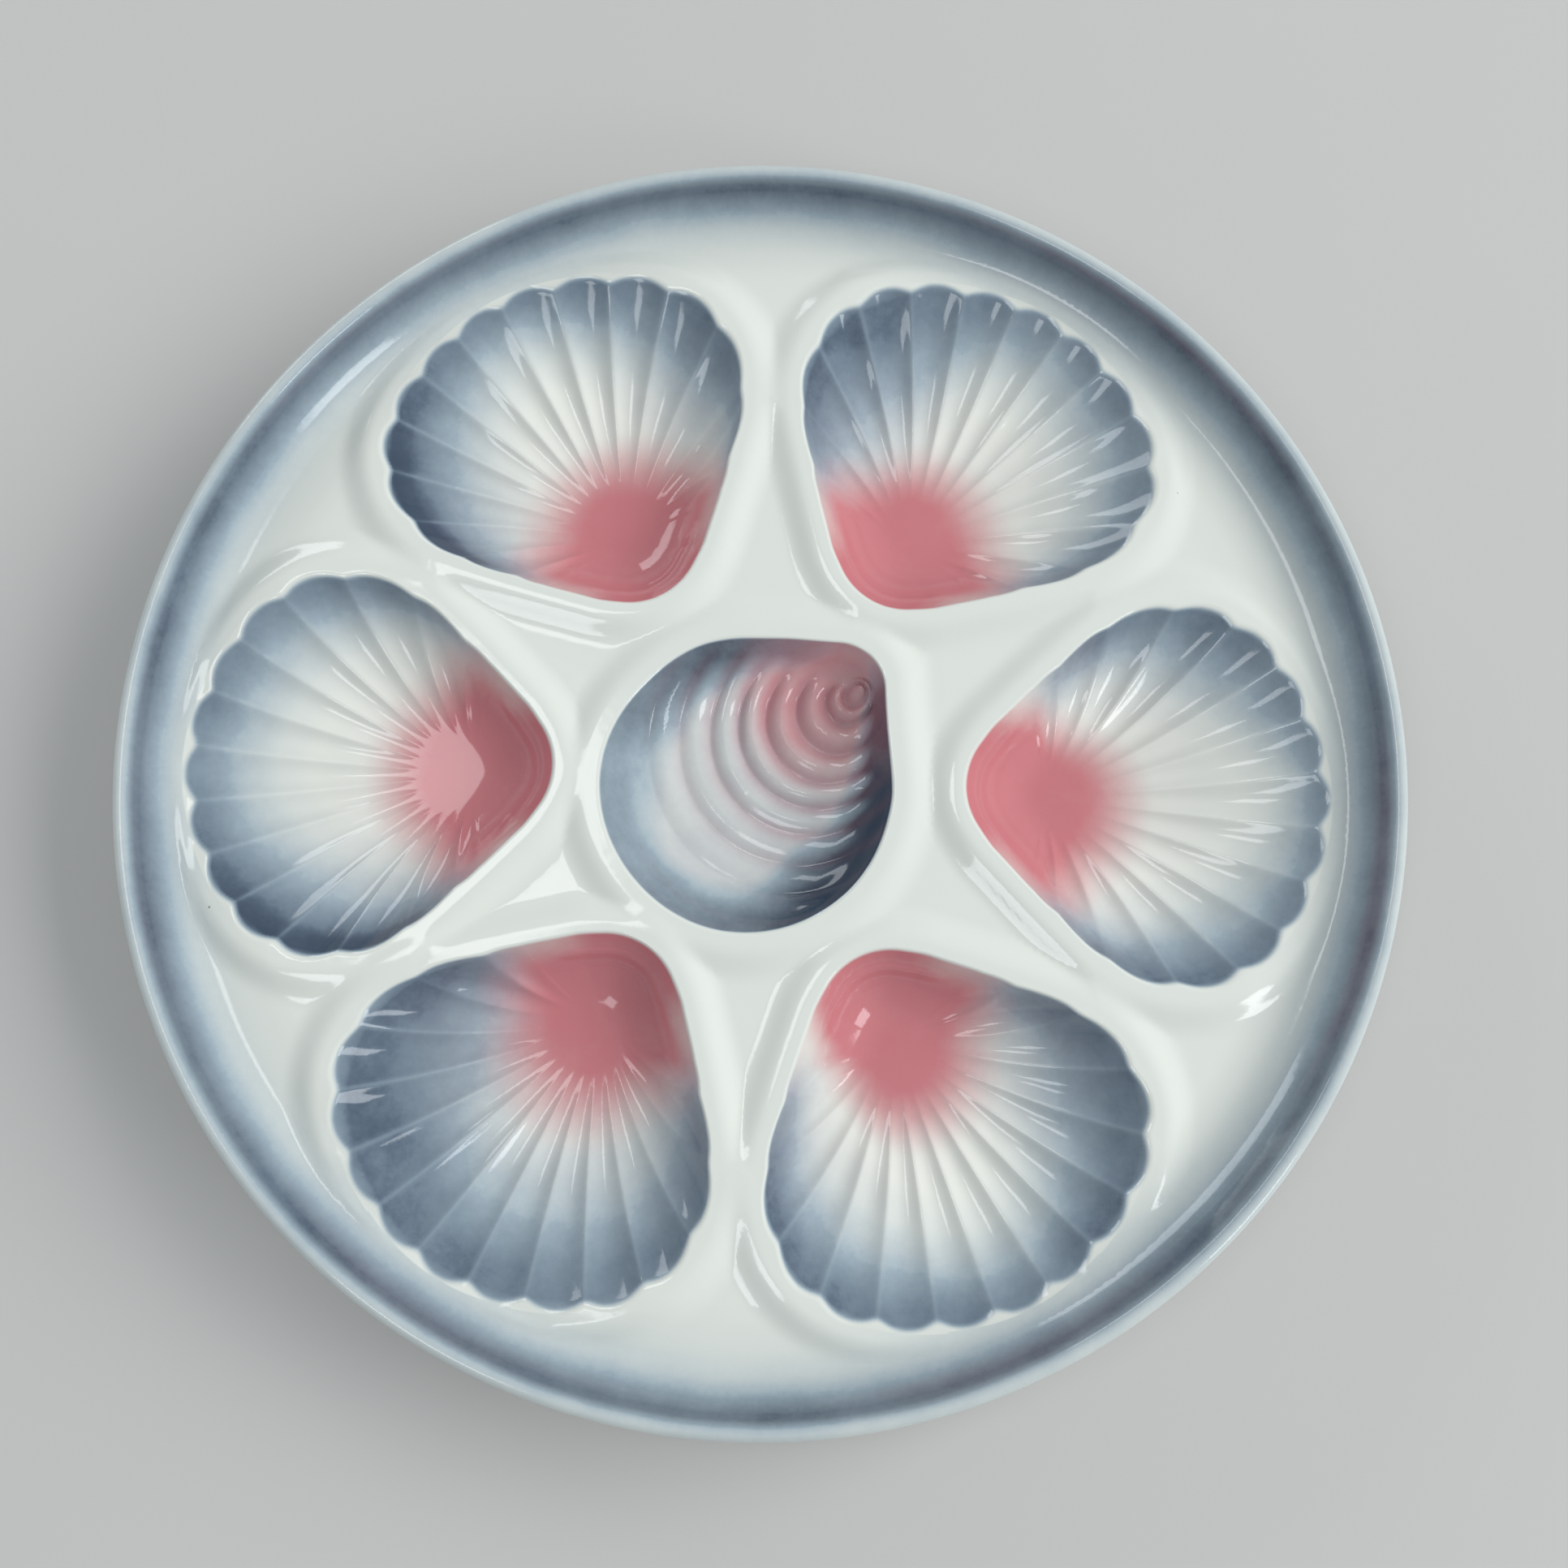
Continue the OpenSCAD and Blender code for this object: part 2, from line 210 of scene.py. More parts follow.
# Outline of a shell about its focus
def tangent_turn():
    """Sine and cosine of the straight side's direction, between the fan and the tip."""
    gap = FAN_U - TIP_CENTRE_U
    a = gap ** 2 + FAN_SIDE ** 2 - FAN_IN ** 2
    b = 2 * gap * TIP_R
    c = TIP_R ** 2 - FAN_SIDE ** 2
    sine = (math.sqrt(b * b - 4 * a * c) - b) / (2 * a)
    return sine, math.sqrt(1 - sine * sine)


TURN_SIN, TURN_COS = tangent_turn()
FAN_SUPPORT = math.hypot(FAN_SIDE * TURN_COS, FAN_IN * TURN_SIN)
TIP_TOUCH = math.atan2(TIP_R * TURN_COS, TIP_CENTRE_U - TIP_R * TURN_SIN - FOCUS_U)
FAN_TOUCH = math.atan2(FAN_SIDE ** 2 * TURN_COS / FAN_SUPPORT,
                       FAN_U - FAN_IN ** 2 * TURN_SIN / FAN_SUPPORT - FOCUS_U)
WIDEST = math.atan2(FAN_SIDE, FAN_U - FOCUS_U)


def fan_hit(angle, reach):
    """Distance from the focus to the fan's ellipse."""
    off = FOCUS_U - FAN_U
    q = (np.cos(angle) / reach) ** 2 + (np.sin(angle) / FAN_SIDE) ** 2
    h = off * np.cos(angle) / reach ** 2
    c = (off / reach) ** 2 - 1
    return (np.sqrt(np.maximum(h * h - q * c, 0)) - h) / q


def shell_fit(angle):
    """How far the moulded mouth stands out of the drawn outline."""
    return eased(np.degrees(np.abs(wrap(angle))), [0, 25, 50, 90, 130, 150, 180],
                 [0.9, 0, -0.2, 0.6, 0.3, -0.3, -0.3])


def drawn_radius(angle):
    """Distance from the focus to the drawn outline, without the notches."""
    w = np.abs(wrap(angle))
    off = FOCUS_U - TIP_CENTRE_U
    slope = np.maximum(TURN_COS * np.sin(w) - TURN_SIN * np.cos(w), 0.2)
    straight = (TIP_R + off * TURN_SIN) / slope
    tip = np.sqrt(np.maximum(TIP_R ** 2 - (off * np.sin(w)) ** 2, 0)) - off * np.cos(w)
    fan = np.where(w < WIDEST, fan_hit(w, FAN_OUT), fan_hit(w, FAN_IN))
    return np.where(w < FAN_TOUCH, fan, np.where(w < TIP_TOUCH, straight, tip))


def shell_radius(angle):
    """Distance from the focus to the mouth."""
    return drawn_radius(angle) + shell_fit(angle)


def shell_normal(angle):
    """Outward direction of the outline, as two arrays."""
    w = np.abs(wrap(angle))
    r = drawn_radius(angle)
    u = FOCUS_U + r * np.cos(angle)
    v = r * np.sin(angle)
    reach = np.where(w < WIDEST, FAN_OUT, FAN_IN)
    side = np.sign(wrap(angle))
    nu = np.where(w < FAN_TOUCH, (u - FAN_U) / reach ** 2,
                  np.where(w < TIP_TOUCH, -TURN_SIN, u - TIP_CENTRE_U))
    nv = np.where(w < FAN_TOUCH, v / FAN_SIDE ** 2, np.where(w < TIP_TOUCH, TURN_COS * side, v))
    size = np.hypot(nu, nv)
    return nu / size, nv / size


TURNS = np.linspace(-math.pi, math.pi, 5761)


def around(table, angle):
    """Value at an angle about a well's centre, from a table over TURNS."""
    return np.interp(angle, TURNS, table)


SHELL_RADII = shell_radius(TURNS)
SHELL_NU, SHELL_NV = shell_normal(TURNS)
SHELL_SLANT = SHELL_NU * np.cos(TURNS) + SHELL_NV * np.sin(TURNS)


def round_shell(side, lobe, tip, lobe_power=4):
    """A size round the outline, blended by the way that the outline faces."""
    outer = side + (lobe - side) * SHELL_NU ** lobe_power
    return np.where(SHELL_NU > 0, outer, side + (tip - side) * SHELL_NU ** 4)


SHELL_COLLAR = round_shell(SIDE_COLLAR_W, LOBE_COLLAR_W, TIP_COLLAR_W, lobe_power=2)
SHELL_COLLAR = SHELL_COLLAR - shell_fit(TURNS) * SHELL_SLANT
SHELL_RISE = round_shell(SIDE_RISE, LOBE_RISE, SIDE_RISE)
SHELL_CREST = round_shell(SIDE_CREST, LOBE_CREST, TIP_CREST)
SHELL_FALL = round_shell(SIDE_FALL, LOBE_FALL, TIP_FALL)


# Outline of the sauce well about its own centre
CORNER_OFF = CORNER_AT - SAUCE_AT
CORNER_DIST = math.hypot(*CORNER_OFF)
CORNER_DIR = math.atan2(CORNER_OFF[1], CORNER_OFF[0])
CORNER_TANGENT = math.acos((SAUCE_R - CORNER_R) / CORNER_DIST)
CORNER_SPAN = math.atan2(CORNER_R * math.sin(CORNER_TANGENT),
                         CORNER_DIST + CORNER_R * math.cos(CORNER_TANGENT))


def sauce_fit(angle):
    """How far the moulded mouth stands out of the drawn outline."""
    return eased(np.degrees(angle) % 360, [0, 30, 50, 80, 105, 140, 172, 220, 265, 315, 345, 360],
                 [0, -0.3, 0, 0.9, 0.9, -0.3, 0, -0.3, 0.2, 0.1, -0.2, 0])


def drawn_sauce_radius(angle):
    """Distance from the sauce well's centre to the drawn outline of its mouth."""
    d = np.abs(wrap(angle - CORNER_DIR))
    straight = SAUCE_R / np.cos(np.clip(CORNER_TANGENT - d, -1.2, 1.2))
    inside = np.maximum(CORNER_R ** 2 - (CORNER_DIST * np.sin(d)) ** 2, 0)
    corner = CORNER_DIST * np.cos(d) + np.sqrt(inside)
    return np.where(d > CORNER_TANGENT, SAUCE_R, np.where(d > CORNER_SPAN, straight, corner))


def sauce_radius(angle):
    """Distance from the sauce well's centre to its mouth."""
    return drawn_sauce_radius(angle) + sauce_fit(angle)


def sauce_normal(angle):
    """Outward direction of the sauce well's outline, as two arrays."""
    side = wrap(angle - CORNER_DIR)
    d = np.abs(side)
    turn = CORNER_DIR + np.sign(side) * CORNER_TANGENT
    r = drawn_sauce_radius(angle)
    cx = SAUCE_AT[0] + r * np.cos(angle) - CORNER_AT[0]
    cy = SAUCE_AT[1] + r * np.sin(angle) - CORNER_AT[1]
    size = np.hypot(cx, cy)
    nx = np.where(d > CORNER_TANGENT, np.cos(angle), np.where(d > CORNER_SPAN, np.cos(turn), cx / size))
    ny = np.where(d > CORNER_TANGENT, np.sin(angle), np.where(d > CORNER_SPAN, np.sin(turn), cy / size))
    return nx, ny


SAUCE_RADII = sauce_radius(TURNS)
SAUCE_NX, SAUCE_NY = sauce_normal(TURNS)
SAUCE_SLANT = SAUCE_NX * np.cos(TURNS) + SAUCE_NY * np.sin(TURNS)


# Height of the upper surface
LIP_AT = np.array([PLATE_R - LIP_R, PLATE_H - LIP_R])
LIP_TURN = math.radians(153.6)
LIP_START = LIP_AT + LIP_R * np.array([math.cos(LIP_TURN), math.sin(LIP_TURN)])


def shell_focus(well):
    """Place of a shell's focus, a little off its even place as in a hand-made mould."""
    turn = well * 2 * math.pi / WELLS
    return FOCUS_U * np.array([math.cos(turn), math.sin(turn)]) + WELL_MOVES[well]


def shell_place(x, y, well):
    """Angle and distance about a shell's focus."""
    across, up = shell_focus(well)
    turn = WELL_TURNS[well]
    u = (x - across) * math.cos(turn) + (y - up) * math.sin(turn)
    v = (y - up) * math.cos(turn) - (x - across) * math.sin(turn)
    return np.arctan2(v, u), np.hypot(u, v)


def flute_lean(angle, share):
    """How far the ridges have swung outward at a share of the way to the mouth."""
    fade = 1 - smooth(math.radians(85), math.radians(125), np.abs(angle))
    return 1 + FLUTE_LEAN * (np.minimum(share, 1) - LEAN_FROM) * fade


def ridge_angle(number, well):
    """Angle of a column numbered in flutes from the shell's middle; the side flutes are wider."""
    s = number / (FLUTES / 2)
    angle = FAN_HALF * ((1 - FLUTE_SPREAD) * s + FLUTE_SPREAD * s ** 3)
    return angle + FLUTE_TURNS[well] * (1 - s * s)


FLUTE_NUMBERS = np.linspace(-FLUTES / 2, FLUTES / 2, 901)


def flute_number(angle, share, well):
    """Number, in flutes from the shell's middle, of any place in the shell."""
    still = angle / flute_lean(angle, share)
    return np.interp(still, ridge_angle(FLUTE_NUMBERS, well), FLUTE_NUMBERS)


def outside_shell(x, y, well):
    """Angle and distance about a shell's focus, and how far a place lies out of its mouth."""
    angle, distance = shell_place(x, y, well)
    outside = (distance - around(SHELL_RADII, angle)) * around(SHELL_SLANT, angle)
    return angle, distance, outside


def flute_ridge(angle, share, well):
    """Section across the flutes: 1 on a ridge and 0 along the middle of a flute."""
    number = flute_number(angle, share, well)
    s = number + FLUTES / 2
    off_ridge = 1 - np.abs(2 * (s - np.floor(s)) - 1)
    off_ridge = np.sqrt(off_ridge ** 2 + RIDGE_ROUND ** 2)
    end = np.minimum(1, np.abs(number) / (FLUTES / 2))
    return (1 - off_ridge) ** 2 * np.cos(math.pi / 2 * end ** 4)


def shell_bowl(angle, distance, well):
    """Height inside a shell well, which goes on past its mouth."""
    radius = around(SHELL_RADII, angle)
    share = distance / radius
    power = TIP_POWER + (FAN_POWER - TIP_POWER) * (1 + np.cos(angle)) / 2
    depth = DECK_Z + around(SHELL_RISE, angle) - FLOOR_Z
    ramp = smooth(FLUTE_START, FLUTE_FULL, share) * (1 - 0.15 * smooth(0.8, 1, share))
    ledge = LEDGE_H * np.exp(-((radius - distance - LEDGE_IN) / LEDGE_W) ** 2)
    ledge = ledge * smooth(math.radians(105), math.radians(130), np.abs(angle))
    return FLOOR_Z + depth * share ** power + FLUTE_D * ramp * flute_ridge(angle, share, well) + ledge


def sauce_place(x, y):
    """Angle and distance about the sauce well's centre."""
    return np.arctan2(y - SAUCE_AT[1], x - SAUCE_AT[0]), np.hypot(x - SAUCE_AT[0], y - SAUCE_AT[1])


def outside_sauce(x, y):
    """Angle and distance about the sauce well's centre, and how far a place lies out of its mouth."""
    angle, distance = sauce_place(x, y)
    outside = (distance - around(SAUCE_RADII, angle)) * around(SAUCE_SLANT, angle)
    return angle, distance, outside


def whelk_phase(x, y):
    """Which crescent a place lies on, and how far across it."""
    away = (SAUCE_AT - WHELK_TIP) / math.hypot(*(SAUCE_AT - WHELK_TIP))
    qx = x - WHELK_TIP[0]
    qy = y - WHELK_TIP[1]
    along = WHELK_LEAN * (qx * away[0] + qy * away[1])
    left = 1 - WHELK_LEAN ** 2
    radius = (np.sqrt(along ** 2 + left * (qx ** 2 + qy ** 2)) - along) / left
    return np.interp(radius, CRESCENT_RADII, np.arange(len(CRESCENT_RADII)))


def crescent_section(phase):
    """Rounded rib between two narrow grooves; the tip's knob is the first one."""
    across = np.abs(np.where(phase < 1, phase, 2 * (phase - np.floor(phase)) - 1))
    off_groove = np.sqrt((1 - across) ** 2 + GROOVE_ROUND ** 2) - GROOVE_ROUND
    return 1 - np.abs(1 - off_groove) ** RIB_POWER


def whelk_open(x, y):
    """1 where the ribs lie round the tip and 0 behind it, where they run out."""
    across, up = x - WHELK_TIP[0], y - WHELK_TIP[1]
    behind = np.degrees(np.abs(wrap(np.arctan2(up, across) - WHELK_OPENS)))
    return 1 - smooth(*WHELK_SHUTS, behind) * smooth(*WHELK_KNOB, np.hypot(across, up))


def crescent_height(x, y, angle, inside):
    """Height of the ribs, which end at the dark right wall and fade away from the tip."""
    turn = np.degrees(wrap(angle))
    start = eased(turn, RIB_TURNS, RIB_STARTS)
    from_tip = np.hypot(x - WHELK_TIP[0], y - WHELK_TIP[1])
    fade = smooth(CRESCENT_NEAR, CRESCENT_FAR, from_tip)
    height = CRESCENT_H + (FAR_CRESCENT_H - CRESCENT_H) * fade
    return height * smooth(start, start + RIB_RAMP, inside) * whelk_open(x, y)


def sauce_bowl(x, y, angle, distance):
    """Height inside the sauce well, which goes on past its mouth."""
    radius = around(SAUCE_RADII, angle)
    depth = DECK_Z + SAUCE_RISE - FLOOR_Z
    to_corner = smooth(0.7, 1, np.cos(angle - CORNER_DIR))
    power = SAUCE_POWER + (CORNER_POWER - SAUCE_POWER) * to_corner
    relief = crescent_height(x, y, angle, radius - distance) * crescent_section(whelk_phase(x, y))
    return FLOOR_Z + depth * (distance / radius) ** power + relief


def dish_base(radius):
    """Plate without its wells: flat, down into the channel, then up the rim in a hollow curve."""
    dip = (DECK_Z - CHANNEL_Z) * smooth(CHANNEL_R - CHANNEL_FALL_W, CHANNEL_R, radius)
    s = np.clip((radius - CHANNEL_R) / (LIP_START[0] - CHANNEL_R), 0, 1)
    return DECK_Z - dip + (LIP_START[1] - CHANNEL_Z) * s ** CHANNEL_POWER


def collar_slope(outside, crest, fall):
    """1 on a collar's crest and a soft slope from there down to the deck."""
    return 1 - softer(crest, fall, outside)


def top_height(x, y):
    """Height of the glazed upper surface inside the rim."""
    humps = np.zeros_like(x)
    bowls = []
    for well in range(WELLS):
        angle, distance, outside = outside_shell(x, y, well)
        rise, crest, fall = (around(table, angle) for table in (SHELL_RISE, SHELL_CREST, SHELL_FALL))
        humps += (rise * collar_slope(outside, crest, fall)) ** COLLAR_BLEND
        bowls.append(np.where(outside < BOWL_REACH, shell_bowl(angle, distance, well), NO_BOWL))
    angle, distance, outside = outside_sauce(x, y)
    humps += (SAUCE_RISE * collar_slope(outside, SAUCE_CREST, SAUCE_FALL)) ** COLLAR_BLEND
    bowls.append(np.where(outside < BOWL_REACH, sauce_bowl(x, y, angle, distance), NO_BOWL))
    radius = np.hypot(x, y)
    inland = 1 - smooth(RIM_IN_R - COLLAR_END, RIM_IN_R - 0.2, radius)
    height = dish_base(radius) + humps ** (1 / COLLAR_BLEND) * inland
    for bowl in bowls:
        height = soft_min(height, bowl, EDGE_ROUND)
    return height


def top_points(x, y):
    """Points of the upper surface and their normals."""
    step = SLOPE_STEP
    points = np.stack([x, y, top_height(x, y)], axis=-1)
    dx = (top_height(x + step, y) - top_height(x - step, y)) / (2 * step)
    dy = (top_height(x, y + step) - top_height(x, y - step)) / (2 * step)
    normals = np.stack([-dx, -dy, np.ones_like(dx)], axis=-1)
    return points, unit(normals)


def unit(vectors):
    """Vectors brought to a length of 1."""
    return vectors / np.maximum(np.linalg.norm(vectors, axis=-1, keepdims=True), 1e-9)


# Meshes
def grid_normals(points):
    """Normals of a skin of rings, from the skin itself."""
    across = np.roll(points, -1, axis=1) - np.roll(points, 1, axis=1)
    along = np.gradient(points, axis=0)
    return unit(np.cross(along, across))


def ring_bands(count, bands, closed):
    """Corner numbers of the quads between neighbouring rings."""
    rows = np.arange(bands)[:, None] * count
    next_rows = rows + count
    if closed:
        next_rows[-1] = 0
    here = np.arange(count)[None, :]
    after = (here + 1) % count
    quads = np.stack([rows + here, next_rows + here, next_rows + after, rows + after], axis=-1)
    return quads.reshape(-1, 4)


def make_mesh(name, points, faces, corner_normals, masks):
    """Mesh in metres with its own corner normals and one value layer for each mask."""
    mesh = bpy.data.meshes.new(name)
    mesh.from_pydata((points * MM).tolist(), [], faces)
    mesh.polygons.foreach_set("use_smooth", [True] * len(mesh.polygons))
    for mask, values in masks.items():
        layer = mesh.attributes.new(mask, "FLOAT", "POINT")
        layer.data.foreach_set("value", np.ascontiguousarray(values, dtype=np.float32))
    mesh.update()
    mesh.normals_split_custom_set(corner_normals.tolist())
    piece = bpy.data.objects.new(name, mesh)
    bpy.context.scene.collection.objects.link(piece)
    return piece


def skin(rings, normals, walls, wall_normals, ends):
    """Points, faces and corner normals of a closed skin of rings.

    walls are the bands that take flat wall normals. ends are the first and last point of a
    bowl, or None where the last ring meets the first.
    """
    count = rings.shape[1]
    closed = ends is None
    bands = len(rings) if closed else len(rings) - 1
    quads = ring_bands(count, bands, closed)
    after = np.roll(np.arange(count), -1)
    corner = []
    for band in range(bands):
        low = wall_normals if band in walls else normals[band]
        high = wall_normals if band in walls else normals[(band + 1) % len(rings)]
        corner.append(np.stack([low, high, high[after], low[after]], axis=1).reshape(-1, 3))
    points = rings.reshape(-1, 3)
    faces = quads.tolist()
    if not closed:
        first = len(points)
        last_ring = (len(rings) - 1) * count
        faces += [[first, j, (j + 1) % count] for j in range(count)]
        faces += [[first + 1, last_ring + (j + 1) % count, last_ring + j] for j in range(count)]
        up = np.tile([0.0, 0.0, 1.0], (count, 1))
        corner.append(np.stack([up, normals[0], normals[0][after]], axis=1).reshape(-1, 3))
        corner.append(np.stack([-up, normals[-1][after], normals[-1]], axis=1).reshape(-1, 3))
        points = np.concatenate([points, ends])
    return points, faces, np.concatenate(corner)


# Airbrushed colour: where the slate, the rose and the thin ridges lie, with painted shade in the whelk
# well and painted highlights on the ridges
def channel_slate(radius):
    """Slate glaze pooled at the foot of the rim, fading over the channel and the lip."""
    marks = [0, 105, 108, 111, 114, 115.5, 117.1, 118, 119.3, 120.6, 121.3, 121.9, 122.6, 123.5, 125]
    shares = [0, 0, 0.03, 0.08, 0.2, 0.27, 0.42, 0.5, 0.66, 0.82, 0.8, 0.56, 0.38, 0.28, 0.2]
    return np.interp(radius, marks, shares)


# Width of the slate spray in each shell well, as a share, at degrees from the lobes' middle
SPRAY_TURNS = [-90, -50, 0, 50, 90]
WELL_SPRAY = [[1.0, 1.1, 0.58, 1.2, 1.2], [1.2, 1.1, 0.8, 2.2, 1.5], [0.5, 1.3, 0.75, 1.45, 1.1],
              [0.6, 1.0, 0.85, 1.4, 1.2], [2.2, 2.7, 1.6, 1.7, 1.5], [1.1, 1.2, 0.85, 1.7, 1.6]]

# Darkness of the spray at the same angles, as a share
WELL_DEPTH = [[1.0, 1.0, 0.9, 1.0, 1.0], [1.0, 0.9, 0.92, 0.95, 0.98], [0.92, 1.0, 0.97, 1.17, 1.3],
              [0.85, 0.88, 1.0, 1.2, 1.15], [0.95, 0.92, 0.97, 0.9, 0.92], [0.92, 1.0, 1.0, 0.92, 0.9]]

# How far the rose reaches in each well, as a share
ROSE_TURNS = [-110, 0, 110]
WELL_ROSE = [[1.0, 1.0, 0.6], [0.97, 1.0, 0.88], [1.0, 1.0, 0.95],
             [1.0, 1.0, 1.0], [0.85, 1.15, 0.85], [0.5, 1.06, 0.85]]

# Slate at distances inside a mouth, where the focus lies MOUTH_DEPTH in
MOUTH_DEPTH = 55
SLATE_IN = [0, 1.5, 4, 6.6, 10, 14, 19, 27]
SLATE_LEVELS = [0.6, 0.8, 0.77, 0.65, 0.47, 0.3, 0.12, 0]

# Distances from the focus where the rose starts to fade and ends
ROSE_SIDES = [0, 55, 80, 100, 140, 180]
ROSE_NEAR = [8.5, 8.5, 11, 18, 28, 34]
ROSE_FAR = [26, 27, 32, 38, 46, 56]


def shell_masks(angle, distance, well):
    """Slate round the lobes and sides, rose in the tip and pale ridges."""
    radius = around(SHELL_RADII, angle)
    share = distance / radius
    top = DECK_Z + around(SHELL_RISE, angle)
    cut = smooth(-0.2, 0.8, top - shell_bowl(angle, distance, well))
    turn = np.degrees(angle)
    spray = eased(turn, SPRAY_TURNS, WELL_SPRAY[well])
    slate = np.interp(MOUTH_DEPTH * (1 - share) / spray, SLATE_IN, SLATE_LEVELS)
    slate = slate * (0.85 + 0.15 * spray) * eased(turn, SPRAY_TURNS, WELL_DEPTH[well])
    slate = slate * (1 - smooth(70, 112, np.abs(turn)))
    near = eased(np.abs(turn), ROSE_SIDES, ROSE_NEAR)
    far = eased(np.abs(turn), ROSE_SIDES, ROSE_FAR)
    reach = distance / eased(turn, ROSE_TURNS, WELL_ROSE[well])
    pale_edge = 0.5 * smooth(0.72, 1, share) * (1 - smooth(112, 150, np.abs(turn)))
    rose = (1 - smooth(near, far, reach)) * (1 - pale_edge)
    rose = np.maximum(rose, 0.06 * (1 - smooth(18, 46, distance)))
    # Pale ridges: thinner glaze on the crests and partly a painted highlight
    ridge = smooth(0.6, 0.95, flute_ridge(angle, share, well)) * smooth(0.2, 0.4, share)
    ridge = ridge * (1 - 0.4 * smooth(0.85, 1, share))
    return {"slate": np.clip(slate, 0, 1) * cut, "rose": rose * cut, "ridge": ridge * cut}


# Slate on the sauce well's wall: its strength and its width at angles about the centre. Along the right
# wall, which faces away from the key light, the strong wide slate is partly painted shade
SAUCE_TURNS = [-180, -135, -90, -50, -15, 15, 35, 52, 75, 110, 145, 180]
SAUCE_SLATE = [0.6, 0.58, 0.76, 0.96, 1, 1, 0.95, 0.3, 0.68, 0.84, 0.74, 0.6]
SAUCE_REACH = [20, 15, 16, 21, 16, 12, 9, 4, 9, 14, 18, 20]
# Painted shade: a least slate over the whole whelk well, which greys its deep floor as shade would
SAUCE_FLOOR_PAINTED_SHADE = 0.24


def sauce_masks(x, y, angle, distance):
    """Rose round the whelk's tip and in its grooves, slate on the walls, pale ribs; the slate also holds
    painted shade over the floor and down the right wall.
    """
    inside = around(SAUCE_RADII, angle) - distance
    turn = np.degrees(wrap(angle))
    cut = smooth(-0.1, 0.5, DECK_Z + SAUCE_RISE - sauce_bowl(x, y, angle, distance))
    fade = 1 - smooth(0.2, 1, np.clip(inside / eased(turn, SAUCE_TURNS, SAUCE_REACH), 0, 1))
    # Slate from the wall, never less than the floor's painted shade
    slate = np.maximum(fade * eased(turn, SAUCE_TURNS, SAUCE_SLATE), SAUCE_FLOOR_PAINTED_SHADE)
    near_tip = np.hypot(x - WHELK_ROSE_AT[0], y - WHELK_ROSE_AT[1])
    groove = (1 - crescent_section(whelk_phase(x, y))) * whelk_open(x, y)
    slate = (slate + 0.16 * groove * (1 - smooth(16, 40, near_tip))) * cut
    rose = (1 - smooth(9, 25, near_tip)) * 0.85 + 0.4 * groove * (1 - smooth(22, 44, near_tip))
    rose = np.clip(rose + 0.1 * (1 - smooth(0.25, 0.5, slate)), 0, 1) * cut
    # Pale ribs, strongest near the tip: thinner glaze on the crests and partly a painted highlight
    ridge = (1 - groove) * smooth(2, 6, inside) * (0.5 - 0.3 * smooth(10, 30, near_tip))
    return {"slate": np.clip(slate, 0, 1), "rose": rose * (1 - 0.75 * slate), "ridge": ridge}


def no_masks(count):
    """Masks of plain cream glaze."""
    return {"slate": np.zeros(count), "rose": np.zeros(count), "ridge": np.zeros(count)}


# Underside of a well, as a share of the outline and an offset out of it
def under_profile():
    """Shares, offsets and heights from the deck's underside in to the flat bottom."""
    turn = np.radians(np.linspace(80, 0, 15))
    share = UNDER_SHARE + (1 - UNDER_SHARE) * np.sin(turn)
    offset = UNDER_OUT * np.sin(turn)
    height = FOOT_H + (DECK_LOW_Z - FOOT_H) * (1 - np.cos(turn))
    share = np.concatenate([share, UNDER_FLAT])
    offset = np.concatenate([offset, 0 * UNDER_FLAT])
    height = np.concatenate([height, 0 * UNDER_FLAT + FOOT_H])
    return share, offset, height


def well_underside(outline, out, collar, centre):
    """Rings under a well: the seam, a cove and the bowl. The first lies under the seam."""
    rings = []
    for step, drop in COVE:
        width = UNDER_OUT + (collar - UNDER_OUT) * step
        flat = outline + out * width[:, None]
        rings.append(np.column_stack([flat, np.full(len(flat), DECK_LOW_Z - drop)]))
    for share, offset, height in zip(*under_profile()):
        flat = centre + (outline - centre) * share + out * offset
        rings.append(np.column_stack([flat, np.full(len(flat), height)]))
    return np.array(rings)


def row_places():
    """Shares of the way to the mouth, close together near its edge."""
    inner = np.linspace(0.02, EDGE_FROM, INNER_ROWS)
    return np.concatenate([inner, np.linspace(EDGE_FROM, 1, EDGE_ROWS)[1:]])


def shell_angles(share, well):
    """Column angles that follow the ridges at a share of the way to the mouth."""
    number = np.arange(FLUTES * FLUTE_SAMPLES + 1) / FLUTE_SAMPLES - FLUTES / 2
    fan = ridge_angle(number, well)
    rest = 2 * math.pi - 2 * FAN_HALF
    still = np.concatenate([fan, FAN_HALF + rest * np.arange(1, TIP_SAMPLES) / TIP_SAMPLES])
    still = np.where(still > math.pi, still - 2 * math.pi, still)
    return still * flute_lean(still, share)


def turned(vectors, well):
    """Directions in a shell turned to the well's place."""
    turn = WELL_TURNS[well]
    out = vectors.copy()
    out[..., 0] = vectors[..., 0] * math.cos(turn) - vectors[..., 1] * math.sin(turn)
    out[..., 1] = vectors[..., 0] * math.sin(turn) + vectors[..., 1] * math.cos(turn)
    return out


def shell_ring(share, well):
    """Ring of places in a shell at a share of the way to its mouth."""
    angles = shell_angles(share, well)
    radius = shell_radius(angles) * share
    ring = np.column_stack([radius * np.cos(angles), radius * np.sin(angles)])
    return shell_focus(well) + turned(ring, well)


def shell_outline(well):
    """Outline, outward direction and collar width of a shell, one row a column."""
    angles = shell_angles(1, well)
    out = np.column_stack(shell_normal(angles))
    return shell_ring(1, well), turned(out, well), around(SHELL_COLLAR, angles)


